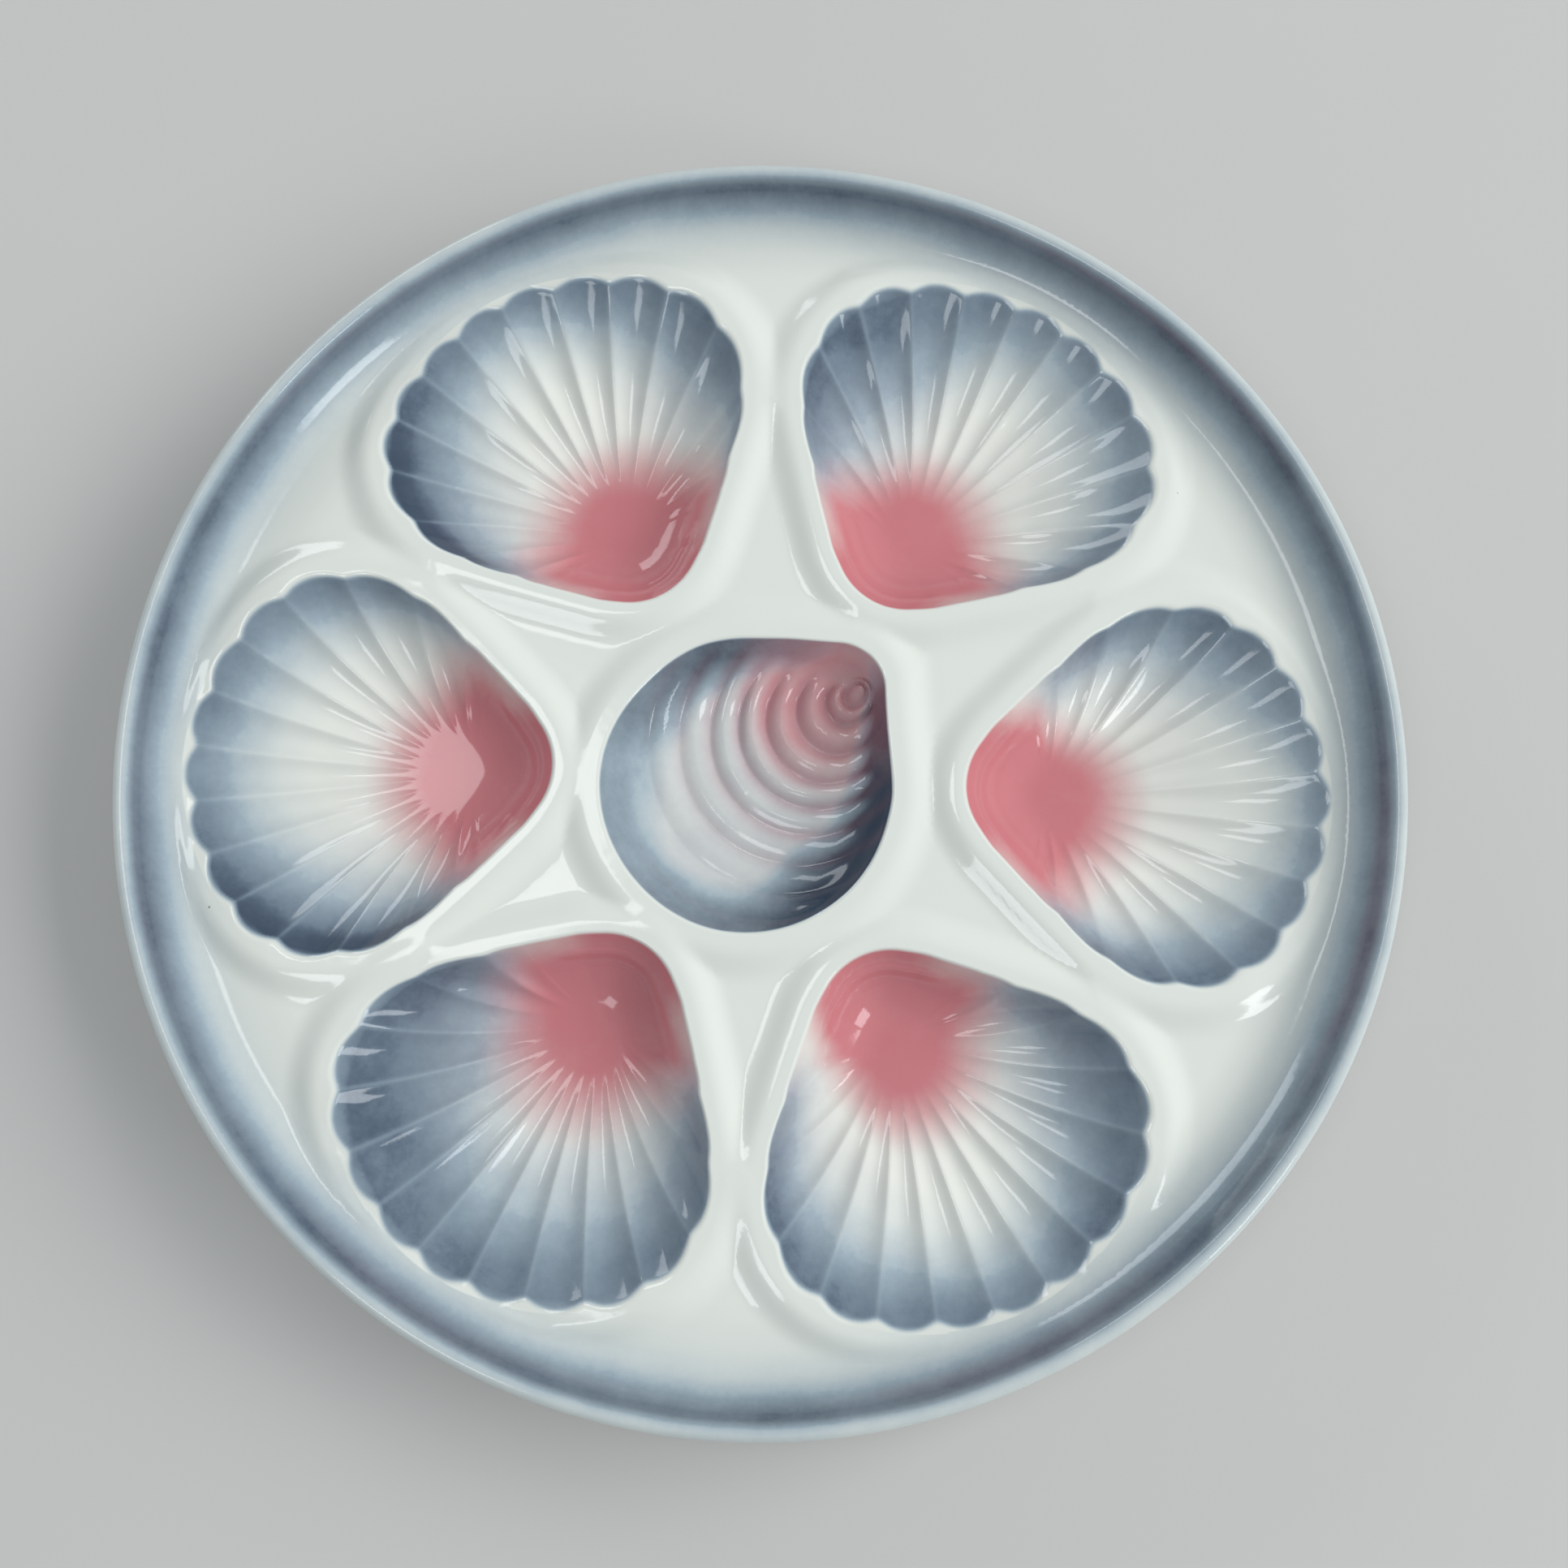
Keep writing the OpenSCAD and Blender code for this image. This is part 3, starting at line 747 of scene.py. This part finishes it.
def sauce_collar(angle, slant):
    """Collar's width out of the moulded mouth of the sauce well."""
    return SAUCE_COLLAR_W - sauce_fit(angle) * slant


def sauce_outline():
    """Outline, outward direction and collar width of the sauce well."""
    angles = np.arange(SAUCE_SAMPLES) * 2 * math.pi / SAUCE_SAMPLES
    radius = sauce_radius(angles)
    outline = SAUCE_AT + np.column_stack([radius * np.cos(angles), radius * np.sin(angles)])
    out = np.column_stack(sauce_normal(angles))
    slant = out[:, 0] * np.cos(angles) + out[:, 1] * np.sin(angles)
    return outline, out, sauce_collar(angles, slant)


COLLAR_STEPS = np.linspace(0, 1, 12)[1:]


def well_solid(plan, outline, out, collar, centre):
    """Closed skin of a well: upper surface, seam wall and underside."""
    plan = np.array(plan + [outline + out * (collar * step)[:, None] for step in COLLAR_STEPS])
    top, top_normals = top_points(plan[..., 0], plan[..., 1])
    under = well_underside(outline, out, collar, centre)
    under_normals = grid_normals(under)
    under_normals[:2] = [0, 0, -1]
    rings = np.concatenate([top, under])
    normals = np.concatenate([top_normals, under_normals])
    wall = np.column_stack([out, np.zeros(len(out))])
    middle = top_points(np.array([centre[0]]), np.array([centre[1]]))[0][0]
    ends = np.array([middle, [centre[0], centre[1], FOOT_H]])
    return skin(rings, normals, {len(top) - 1}, wall, ends), len(top) * len(outline)


def upper_only(masks, upper):
    """Masks kept on the upper surface alone, which comes first."""
    for values in masks.values():
        values[upper:] = 0
    return masks


def build_shell_well(well, material):
    """Fluted scallop-shell well, with the channel's slate on its collar."""
    outline, out, collar = shell_outline(well)
    plan = [shell_ring(share, well) for share in row_places()]
    (points, faces, corners), upper = well_solid(plan, outline, out, collar, shell_focus(well))
    angle, distance = shell_place(points[:, 0], points[:, 1], well)
    masks = shell_masks(angle, distance, well)
    outer = distance > around(SHELL_RADII, angle)
    pooled = channel_slate(np.hypot(points[:, 0], points[:, 1]))
    masks["slate"] = np.where(outer, pooled, masks["slate"])
    masks = upper_only(masks, upper)
    masks["rose"][-2] = 1  # middle point of the bowl
    piece = make_mesh(f"fluted_shell_{well + 1}", points, faces, corners, masks)
    return finish_piece(piece, material, f"shell_well_{well + 1}")


def build_sauce_well(material):
    """Ribbed whelk-shell well in the middle of the plate."""
    outline, out, collar = sauce_outline()
    plan = [SAUCE_AT + (outline - SAUCE_AT) * share for share in row_places()]
    (points, faces, corners), upper = well_solid(plan, outline, out, collar, SAUCE_AT)
    angle, distance = sauce_place(points[:, 0], points[:, 1])
    masks = upper_only(sauce_masks(points[:, 0], points[:, 1], angle, distance), upper)
    piece = make_mesh("whelk_well", points, faces, corners, masks)
    return finish_piece(piece, material, "sauce_well")


# Deck
def well_loops():
    """Seam outlines of the seven wells."""
    outlines = [shell_outline(well) for well in range(WELLS)] + [sauce_outline()]
    return [outline + out * collar[:, None] for outline, out, collar in outlines]


def deck_grid():
    """Places on the deck clear of the seams."""
    rows = np.arange(-PLATE_R, PLATE_R, DECK_GRID * math.sqrt(0.75))
    grid = [(x + DECK_GRID / 2 * (i % 2), y) for i, y in enumerate(rows)
            for x in np.arange(-PLATE_R, PLATE_R, DECK_GRID)]
    x, y = np.array(grid).T
    keep = np.hypot(x, y) < RIM_IN_R - RIM_ROOM
    for well in range(WELLS):
        angle, _, outside = outside_shell(x, y, well)
        keep &= outside > around(SHELL_COLLAR, angle) + SEAM_ROOM
    angle, _, outside = outside_sauce(x, y)
    keep &= outside > sauce_collar(angle, around(SAUCE_SLANT, angle)) + SEAM_ROOM
    return np.column_stack([x[keep], y[keep]])


RIM_SEAM = WELLS + 1


def deck_plan():
    """Places of the deck, the number of the seam that each lies on or -1, and the seams' edges."""
    loops = well_loops() + [RIM_IN_R * CIRCLE]
    places = np.concatenate(loops + [deck_grid()])
    seam = np.full(len(places), -1)
    edges = []
    start = 0
    for number, loop in enumerate(loops):
        seam[start:start + len(loop)] = number
        edges += [(start + j, start + (j + 1) % len(loop)) for j in range(len(loop))]
        start += len(loop)
    return places, seam, edges


def deck_triangles(places, seam, edges):
    """Triangles between the seams, all turned upward."""
    cut = geometry.delaunay_2d_cdt(places.tolist(), edges, [], 0, 1e-6)
    if len(cut[0]) != len(places):
        raise ValueError("the deck's outlines cross")
    order = np.array([source[0] for source in cut[3]])
    triangles = order[np.array(cut[2])]
    one, two, three = seam[triangles].T
    in_well = (one == two) & (two == three) & (one >= 0) & (one != RIM_SEAM)
    triangles = triangles[~in_well]
    a, b, c = (places[triangles[:, i]] for i in range(3))
    turn = (b - a)[:, 0] * (c - a)[:, 1] - (b - a)[:, 1] * (c - a)[:, 0]
    triangles[turn < 0] = triangles[turn < 0][:, ::-1]
    return triangles


def deck_walls(places, seam, edges):
    """Upright faces along the seams and their corner normals."""
    faces = []
    corners = []
    for one, other in edges:
        quad = [one, one + len(places), other + len(places), other]
        side = places[other] - places[one]
        normal = np.array([side[1], -side[0], 0]) / math.hypot(*side)
        if seam[one] != RIM_SEAM:
            quad, normal = quad[::-1], -normal
        faces.append(quad)
        corners.append(np.tile(normal, (4, 1)))
    return faces, corners


def build_deck(material):
    """Cream floor between the wells, out to the rim."""
    places, seam, edges = deck_plan()
    triangles = deck_triangles(places, seam, edges)
    wall_faces, wall_corners = deck_walls(places, seam, edges)
    count = len(places)
    top, top_normals = top_points(places[:, 0], places[:, 1])
    low = np.column_stack([places, np.full(count, DECK_LOW_Z)])
    faces = triangles.tolist() + (triangles[:, ::-1] + count).tolist() + wall_faces
    down = np.tile([0.0, 0.0, -1.0], (triangles.size, 1))
    corners = np.concatenate([top_normals[triangles].reshape(-1, 3), down] + wall_corners)
    masks = no_masks(2 * count)
    masks["slate"][:count] = channel_slate(np.hypot(places[:, 0], places[:, 1]))
    piece = make_mesh("cream_deck", np.concatenate([top, low]), faces, corners, masks)
    return finish_piece(piece, material, "deck")


# Rim and foot, turned about the plate's centre
CHANNEL_ROWS = 20
LIP_ROWS = 24
WALL_ROWS = 16
LIP_END = math.radians(-30)
WALL_SWELL = 0.5
HEEL = np.array([[1.2, 0.9], [0.6, 0.25], [0, 0]]) + [RIM_IN_R, DECK_LOW_Z]


def rim_profile():
    """Section of the rim from its seam up the channel side, over the lip and back under."""
    radius = np.linspace(RIM_IN_R, LIP_START[0], CHANNEL_ROWS)
    inner = np.column_stack([radius, dish_base(radius)])
    turn = np.linspace(LIP_TURN, LIP_END, LIP_ROWS)[1:]
    lip = LIP_AT + LIP_R * np.column_stack([np.cos(turn), np.sin(turn)])
    down = np.linspace(0, 1, WALL_ROWS)[1:]
    outer = lip[-1] + (HEEL[0] - lip[-1]) * down[:, None]
    outer[:, 0] += WALL_SWELL * np.sin(math.pi * down)
    return np.concatenate([inner, lip, outer, HEEL[1:]])


def round_ring(radius, height):
    """Ring about the plate's centre, at one height or with a height for each place."""
    return np.column_stack([CIRCLE * radius, np.full(ROUND_SAMPLES, height)])


# Rows that the spray reaches, over the lip to its outer side, and the slate on the wall below
RIM_SPRAYED_ROWS = 36
RIM_WALL_SLATE = 0.2


def build_rim(material):
    """Channel's outer side, rolled lip and outer wall."""
    profile = rim_profile()
    rings = np.array([round_ring(radius, height) for radius, height in profile])
    normals = grid_normals(rings)
    normals[-1] = [0, 0, -1]
    slope = (dish_base(RIM_IN_R + SLOPE_STEP) - dish_base(RIM_IN_R - SLOPE_STEP)) / (2 * SLOPE_STEP)
    normals[0] = unit(np.column_stack([-slope * CIRCLE, np.ones(ROUND_SAMPLES)]))
    wall = np.column_stack([-CIRCLE, np.zeros(ROUND_SAMPLES)])
    points, faces, corners = skin(rings, normals, {len(rings) - 1}, wall, None)
    masks = no_masks(len(points))
    radius = np.hypot(points[:, 0], points[:, 1])
    sprayed = np.repeat(np.arange(len(profile)) < RIM_SPRAYED_ROWS, ROUND_SAMPLES)
    masks["slate"] = np.where(sprayed, channel_slate(radius), RIM_WALL_SLATE)
    piece = make_mesh("rolled_rim", points, faces, corners, masks)
    return finish_piece(piece, material, "rim")


def underside_height(x, y):
    """Height of the plate's underside above a place on the foot ring."""
    share, offset, height = under_profile()
    lowest = np.full(len(x), DECK_LOW_Z)
    for well in range(WELLS):
        angle, distance = shell_place(x, y, well)
        radius = around(SHELL_RADII, angle)
        slant = np.maximum(around(SHELL_SLANT, angle), 0.4)
        for j in range(len(x)):
            reach = (share * radius[j] + offset / slant[j])[::-1]
            if distance[j] < reach[-1]:
                lowest[j] = min(lowest[j], np.interp(distance[j], reach, height[::-1]))
    return lowest


def foot_side(radius):
    """Heights round one side of the foot ring where it runs into the plate's underside."""
    place = CIRCLE * radius
    return np.clip(underside_height(place[:, 0], place[:, 1]) + FOOT_SINK, FOOT_TOP_Z, DECK_LOW_Z)


def foot_rings():
    """Rings of the foot: down its outer side, round both edges and up its inner side."""
    inner, outer = FOOT_R - FOOT_W / 2, FOOT_R + FOOT_W / 2
    inner_rise, outer_rise = foot_side(inner) - FOOT_EDGE, foot_side(outer) - FOOT_EDGE
    bend = np.radians(np.linspace(0, 90, 7))
    across, low = FOOT_EDGE * np.cos(bend), FOOT_EDGE - FOOT_EDGE * np.sin(bend)
    section = [(inner, FOOT_EDGE + inner_rise * share) for share in (1, 0.66, 0.33, 0)]
    section += list(zip(inner + FOOT_EDGE - across[1:], low[1:]))
    section += list(zip(outer - FOOT_EDGE + across[::-1], low[::-1]))
    section += [(outer, FOOT_EDGE + outer_rise * share) for share in (0.33, 0.66, 1)]
    return np.array([round_ring(radius, height) for radius, height in section])[::-1]


def build_foot(material):
    """Ring that the plate stands on, bare clay where it was wiped."""
    rings = foot_rings()
    normals = grid_normals(rings)
    up = np.tile([0.0, 0.0, 1.0], (ROUND_SAMPLES, 1))
    points, faces, corners = skin(rings, normals, {len(rings) - 1}, up, None)
    masks = no_masks(len(points))
    masks["bare"] = 1 - smooth(0.25, 0.75, points[:, 2])
    piece = make_mesh("foot_ring_turned", points, faces, corners, masks)
    return finish_piece(piece, material, "foot_ring")


def finish_piece(piece, material, node):
    """Glaze a piece, hang it from the root and hide the node of the frame that it dresses."""
    piece.data.materials.append(material)
    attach(piece, "root")
    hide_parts(node)
    return piece


# Glaze
def srgb(red, green, blue):
    """Colour given as a screen shows it, from 0 to 255."""
    steps = [value / 255 for value in (red, green, blue)]
    return tuple(s / 12.92 if s <= 0.04045 else ((s + 0.055) / 1.055) ** 2.4 for s in steps) + (1.0,)


CREAM = srgb(226, 228, 219)
# Colour of the pale ridges, partly a painted highlight
PALE = srgb(234, 236, 230)
MIST = srgb(160, 175, 183)
SLATE = srgb(80, 96, 114)
# Darkest slate; as the whelk well's slate it is partly painted shade on the right wall
DEEP_SLATE = srgb(52, 64, 80)
RIM_SLATE = srgb(66, 80, 97)
ROSE = srgb(203, 124, 128)
BISQUE = srgb(206, 188, 160)
SPECK = srgb(96, 84, 70)

# Strength of the spray's grain, and how its soft edges drift
GRAIN = 0.07
EDGE_FULL = 1.15
EDGE_DRIFT = 4

# How the colour thins on the ridges, where fired glaze runs off; the pale line along each ridge is also
# partly a painted highlight
RIDGE_THINS_SLATE = 0.55
RIDGE_THINS_ROSE = 0.3
RIDGE_PALES = 0.2

# Slate mask at which each darker colour starts, and how fast it comes in
MIST_GAIN = 2
SLATE_FROM = 0.45
SLATE_GAIN = 1.9
DEEPEST_FROM = 0.82
DEEPEST_GAIN = 4

# Specks, pinholes and waves
SPECK_SIZE = 0.035
SPECK_SPARED = 0.64
SPECK_STRENGTH = 0.6
PINHOLE_SIZE = 0.05
PINHOLE_SPARED = 0.6
PEEL = 0.25
WAVE_STRENGTH = 0.12
WAVE_DEPTH = 0.0003

# Fineness of what lies in the glaze, in cells to the metre
CLOUD_CELLS = 38
GRAIN_CELLS = 900
SPECK_CELLS = 120
SPECK_PATCHES = 60
SHEEN_CELLS = 70
WAVE_CELLS = 150
PEEL_CELLS = 620
PINHOLE_CELLS = 260
PINHOLE_PATCHES = 45


def new_group(name, inputs, outputs):
    """Empty shader group with named sockets, and its two ends."""
    tree = bpy.data.node_groups.new(name, "ShaderNodeTree")
    for label, kind, value in inputs:
        socket = tree.interface.new_socket(label, in_out="INPUT", socket_type=kind)
        if value is not None:
            socket.default_value = value
    for label, kind in outputs:
        tree.interface.new_socket(label, in_out="OUTPUT", socket_type=kind)
    return tree, tree.nodes.new("NodeGroupInput"), tree.nodes.new("NodeGroupOutput")


def math_node(tree, how, one, other, limit=False):
    """One step of arithmetic on values or sockets, kept between 0 and 1 where limit is true."""
    node = tree.nodes.new("ShaderNodeMath")
    node.operation = how
    node.use_clamp = limit
    for socket, value in zip(node.inputs, (one, other)):
        if isinstance(value, (int, float)):
            socket.default_value = value
        else:
            tree.links.new(value, socket)
    return node.outputs[0]


def mix_colour(tree, share, one, other):
    """Colour that goes from one to the other as share goes from 0 to 1."""
    node = tree.nodes.new("ShaderNodeMix")
    node.data_type = "RGBA"
    for socket, value in ((node.inputs[0], share), (node.inputs[6], one), (node.inputs[7], other)):
        if isinstance(value, (int, float, tuple)):
            socket.default_value = value
        else:
            tree.links.new(value, socket)
    return node.outputs[2]


def noise(tree, place, scale, detail, rough=0.5):
    """Cloudy pattern with values about 0.5."""
    node = tree.nodes.new("ShaderNodeTexNoise")
    node.inputs["Scale"].default_value = scale
    node.inputs["Detail"].default_value = detail
    node.inputs["Roughness"].default_value = rough
    tree.links.new(place, node.inputs["Vector"])
    return node.outputs["Fac"]


def airbrush_group():
    """Cream glaze with slate and rose sprayed over it, and pale ridges; the slate and ridge masks also
    carry painted shade and painted highlights.
    """
    tree, given, result = new_group(
        "airbrushed_glaze",
        [("Place", "NodeSocketVector", None), ("Slate mask", "NodeSocketFloat", 0.0),
         ("Rose mask", "NodeSocketFloat", 0.0), ("Ridge mask", "NodeSocketFloat", 0.0),
         ("Drift", "NodeSocketFloat", 0.3), ("Cream", "NodeSocketColor", CREAM),
         ("Slate", "NodeSocketColor", SLATE), ("Rose", "NodeSocketColor", ROSE)],
        [("Color", "NodeSocketColor")])
    place = given.outputs["Place"]
    cloud = math_node(tree, "SUBTRACT", noise(tree, place, CLOUD_CELLS, 4, 0.66), 0.5)
    grain = math_node(tree, "SUBTRACT", noise(tree, place, GRAIN_CELLS, 2, 0.7), 0.5)
    drift = math_node(tree, "MULTIPLY", cloud, given.outputs["Drift"])
    drift = math_node(tree, "ADD", drift, math_node(tree, "MULTIPLY", grain, GRAIN))

    def sprayed(mask):
        edge = math_node(tree, "MULTIPLY", mask, math_node(tree, "SUBTRACT", EDGE_FULL, mask))
        edge = math_node(tree, "MULTIPLY", edge, EDGE_DRIFT)
        return math_node(tree, "ADD", mask, math_node(tree, "MULTIPLY", edge, drift), True)

    ridge = given.outputs["Ridge mask"]
    thin = math_node(tree, "SUBTRACT", 1, math_node(tree, "MULTIPLY", ridge, RIDGE_THINS_SLATE))
    slate = math_node(tree, "MULTIPLY", sprayed(given.outputs["Slate mask"]), thin)
    # Pale ridges, partly a painted highlight
    pale = math_node(tree, "MULTIPLY", ridge, RIDGE_PALES)
    body = mix_colour(tree, pale, given.outputs["Cream"], PALE)
    misted = mix_colour(tree, math_node(tree, "MULTIPLY", slate, MIST_GAIN, True), body, MIST)
    deep = math_node(tree, "SUBTRACT", slate, SLATE_FROM)
    deep = math_node(tree, "MULTIPLY", deep, SLATE_GAIN, True)
    slated = mix_colour(tree, deep, misted, given.outputs["Slate"])
    deepest = math_node(tree, "SUBTRACT", slate, DEEPEST_FROM)
    deepest = math_node(tree, "MULTIPLY", deepest, DEEPEST_GAIN, True)
    slated = mix_colour(tree, deepest, slated, DEEP_SLATE)
    rose_thin = math_node(tree, "SUBTRACT", 1, math_node(tree, "MULTIPLY", ridge, RIDGE_THINS_ROSE))
    rose = math_node(tree, "MULTIPLY", sprayed(given.outputs["Rose mask"]), rose_thin)
    rosy = mix_colour(tree, rose, slated, given.outputs["Rose"])
    speckle = tree.nodes.new("ShaderNodeTexVoronoi")
    speckle.inputs["Scale"].default_value = SPECK_CELLS
    tree.links.new(place, speckle.inputs["Vector"])
    dot = math_node(tree, "LESS_THAN", speckle.outputs["Distance"], SPECK_SIZE)
    patch = math_node(tree, "GREATER_THAN", noise(tree, place, SPECK_PATCHES, 1), SPECK_SPARED)
    dot = math_node(tree, "MULTIPLY", math_node(tree, "MULTIPLY", dot, patch), SPECK_STRENGTH)
    tree.links.new(mix_colour(tree, dot, rosy, SPECK), result.inputs["Color"])
    return tree


def fired_group():
    """Fired surface: slight waves and pinholes, with roughness that drifts."""
    tree, given, result = new_group(
        "fired_surface",
        [("Place", "NodeSocketVector", None), ("Least roughness", "NodeSocketFloat", 0.05),
         ("Spread", "NodeSocketFloat", 0.08)],
        [("Roughness", "NodeSocketFloat"), ("Height", "NodeSocketFloat")])
    place = given.outputs["Place"]
    spread = math_node(tree, "MULTIPLY", noise(tree, place, SHEEN_CELLS, 4), given.outputs["Spread"])
    tree.links.new(math_node(tree, "ADD", spread, given.outputs["Least roughness"]),
                   result.inputs["Roughness"])
    wave = noise(tree, place, WAVE_CELLS, 2)
    peel = math_node(tree, "MULTIPLY", noise(tree, place, PEEL_CELLS, 2), PEEL)
    pits = tree.nodes.new("ShaderNodeTexVoronoi")
    pits.inputs["Scale"].default_value = PINHOLE_CELLS
    tree.links.new(place, pits.inputs["Vector"])
    pit = math_node(tree, "LESS_THAN", pits.outputs["Distance"], PINHOLE_SIZE)
    patch = math_node(tree, "GREATER_THAN", noise(tree, place, PINHOLE_PATCHES, 1), PINHOLE_SPARED)
    pit = math_node(tree, "MULTIPLY", pit, patch)
    height = math_node(tree, "SUBTRACT", math_node(tree, "ADD", wave, peel), pit)
    tree.links.new(height, result.inputs["Height"])
    return tree


AIRBRUSH = airbrush_group()
FIRED = fired_group()
GLAZE_IOR = 1.5
CLAY_ROUGHNESS = 0.75


def attribute(tree, name):
    """One of the masks that the meshes carry."""
    node = tree.nodes.new("ShaderNodeAttribute")
    node.attribute_name = name
    return node.outputs["Fac"]


def glaze_material(name, drift=0.42, slate=SLATE, bare=False):
    """Glossy glaze over earthenware; bare clay where the bare mask says so."""
    material = bpy.data.materials.new(name)
    material.use_nodes = True
    tree = material.node_tree
    shader = tree.nodes["Principled BSDF"]
    shader.inputs["IOR"].default_value = GLAZE_IOR
    place = tree.nodes.new("ShaderNodeTexCoord").outputs["Object"]
    colour = tree.nodes.new("ShaderNodeGroup")
    colour.node_tree = AIRBRUSH
    colour.inputs["Drift"].default_value = drift
    colour.inputs["Slate"].default_value = slate
    tree.links.new(place, colour.inputs["Place"])
    for mask in ("slate", "rose", "ridge"):
        tree.links.new(attribute(tree, mask), colour.inputs[mask.capitalize() + " mask"])
    fired = tree.nodes.new("ShaderNodeGroup")
    fired.node_tree = FIRED
    tree.links.new(place, fired.inputs["Place"])
    base, rough = colour.outputs["Color"], fired.outputs["Roughness"]
    if bare:
        clay = attribute(tree, "bare")
        base = mix_colour(tree, clay, base, BISQUE)
        rough = math_node(tree, "ADD", rough, math_node(tree, "MULTIPLY", clay, CLAY_ROUGHNESS), True)
    bump = tree.nodes.new("ShaderNodeBump")
    bump.inputs["Strength"].default_value = WAVE_STRENGTH
    bump.inputs["Distance"].default_value = WAVE_DEPTH
    tree.links.new(fired.outputs["Height"], bump.inputs["Height"])
    tree.links.new(base, shader.inputs["Base Color"])
    tree.links.new(rough, shader.inputs["Roughness"])
    tree.links.new(bump.outputs["Normal"], shader.inputs["Normal"])
    return material


# Stage, light and camera
FLOOR_HALF = 2.5
FLOOR_TONES = srgb(196, 194, 190), srgb(204, 202, 198)
FLOOR_ROUGHNESS = 0.7


def build_floor():
    """Plain pale floor under the foot ring."""
    bm = bmesh.new()
    bmesh.ops.create_grid(bm, x_segments=8, y_segments=8, size=FLOOR_HALF)
    mesh = bpy.data.meshes.new("floor")
    bm.to_mesh(mesh)
    bm.free()
    floor = bpy.data.objects.new("floor", mesh)
    material = bpy.data.materials.new("floor_paint")
    material.use_nodes = True
    tree = material.node_tree
    shader = tree.nodes["Principled BSDF"]
    place = tree.nodes.new("ShaderNodeTexCoord").outputs["Object"]
    tone = mix_colour(tree, noise(tree, place, 3, 4), *FLOOR_TONES)
    tree.links.new(tone, shader.inputs["Base Color"])
    shader.inputs["Roughness"].default_value = FLOOR_ROUGHNESS
    mesh.materials.append(material)
    bpy.context.scene.collection.objects.link(floor)


def softbox(name, place, size, power, colour, mirrored=True):
    """Rectangular light at place in metres, turned towards the plate; the glaze mirrors it or not."""
    light = bpy.data.lights.new(name, "AREA")
    light.shape = "RECTANGLE"
    light.size, light.size_y = size
    light.energy = power
    light.color = colour
    lamp = bpy.data.objects.new(name, light)
    lamp.location = place
    lamp.rotation_euler = (-lamp.location).to_track_quat("-Z", "Y").to_euler()
    lamp.visible_glossy = mirrored
    bpy.context.scene.collection.objects.link(lamp)


WINDOW_LIGHT = (0.93, 0.97, 1.0)


def build_light():
    """Light from the right, and four small soft lights that the glaze mirrors."""
    world = bpy.data.worlds.new("studio")
    world.use_nodes = True
    back = world.node_tree.nodes["Background"]
    back.inputs["Color"].default_value = (0.86, 0.93, 1.0, 1.0)
    back.inputs["Strength"].default_value = 0.4
    bpy.context.scene.world = world
    bpy.context.scene.view_settings.view_transform = "Standard"
    softbox("key", (1.9, 0.4, 1.35), (2.0, 1.4), 43, (0.96, 0.98, 1.0), mirrored=False)
    softbox("right_window", (1.25, -0.8, 0.95), (0.35, 0.5), 3.4, WINDOW_LIGHT)
    softbox("left_window", (-0.95, 1.2, 0.58), (0.8, 0.46), 4.4, WINDOW_LIGHT)
    softbox("front_window", (-0.5, -0.65, 1.37), (0.32, 0.4), 1.8, WINDOW_LIGHT)
    softbox("ceiling", (-0.36, 0.2, 1.5), (0.35, 0.35), 1.6, (1.0, 1.0, 1.0))


CAMERA_AT = (0.00211172, -0.05496924, 0.32377647)
CAMERA_TURN = (9.580177, -0.763912, 2.3)
CAMERA_LENS = 36.093


def build_camera():
    """The photograph's viewpoint, worked out from the ellipse of the rim."""
    camera = bpy.data.cameras.new("view")
    camera.lens = CAMERA_LENS
    camera.sensor_width = 36
    camera.clip_start = 0.01
    holder = bpy.data.objects.new("view", camera)
    holder.location = CAMERA_AT
    holder.rotation_euler = [math.radians(angle) for angle in CAMERA_TURN]
    bpy.context.scene.collection.objects.link(holder)
    bpy.context.scene.camera = holder


def build_plate():
    """The ten pieces, in five glazes; the six shell wells share one."""
    shell = glaze_material("shell_glaze")
    # The whelk's deeper slate is partly painted shade on its right wall
    sauce = glaze_material("whelk_glaze", slate=DEEP_SLATE)
    deck = glaze_material("deck_glaze", drift=0.25)
    rim = glaze_material("rim_glaze", drift=0.35, slate=RIM_SLATE)
    foot = glaze_material("foot_glaze", bare=True)
    build_rim(rim)
    build_deck(deck)
    for well in range(WELLS):
        build_shell_well(well, shell)
    build_sauce_well(sauce)
    build_foot(foot)


build_camera()
build_floor()
build_light()
build_plate()
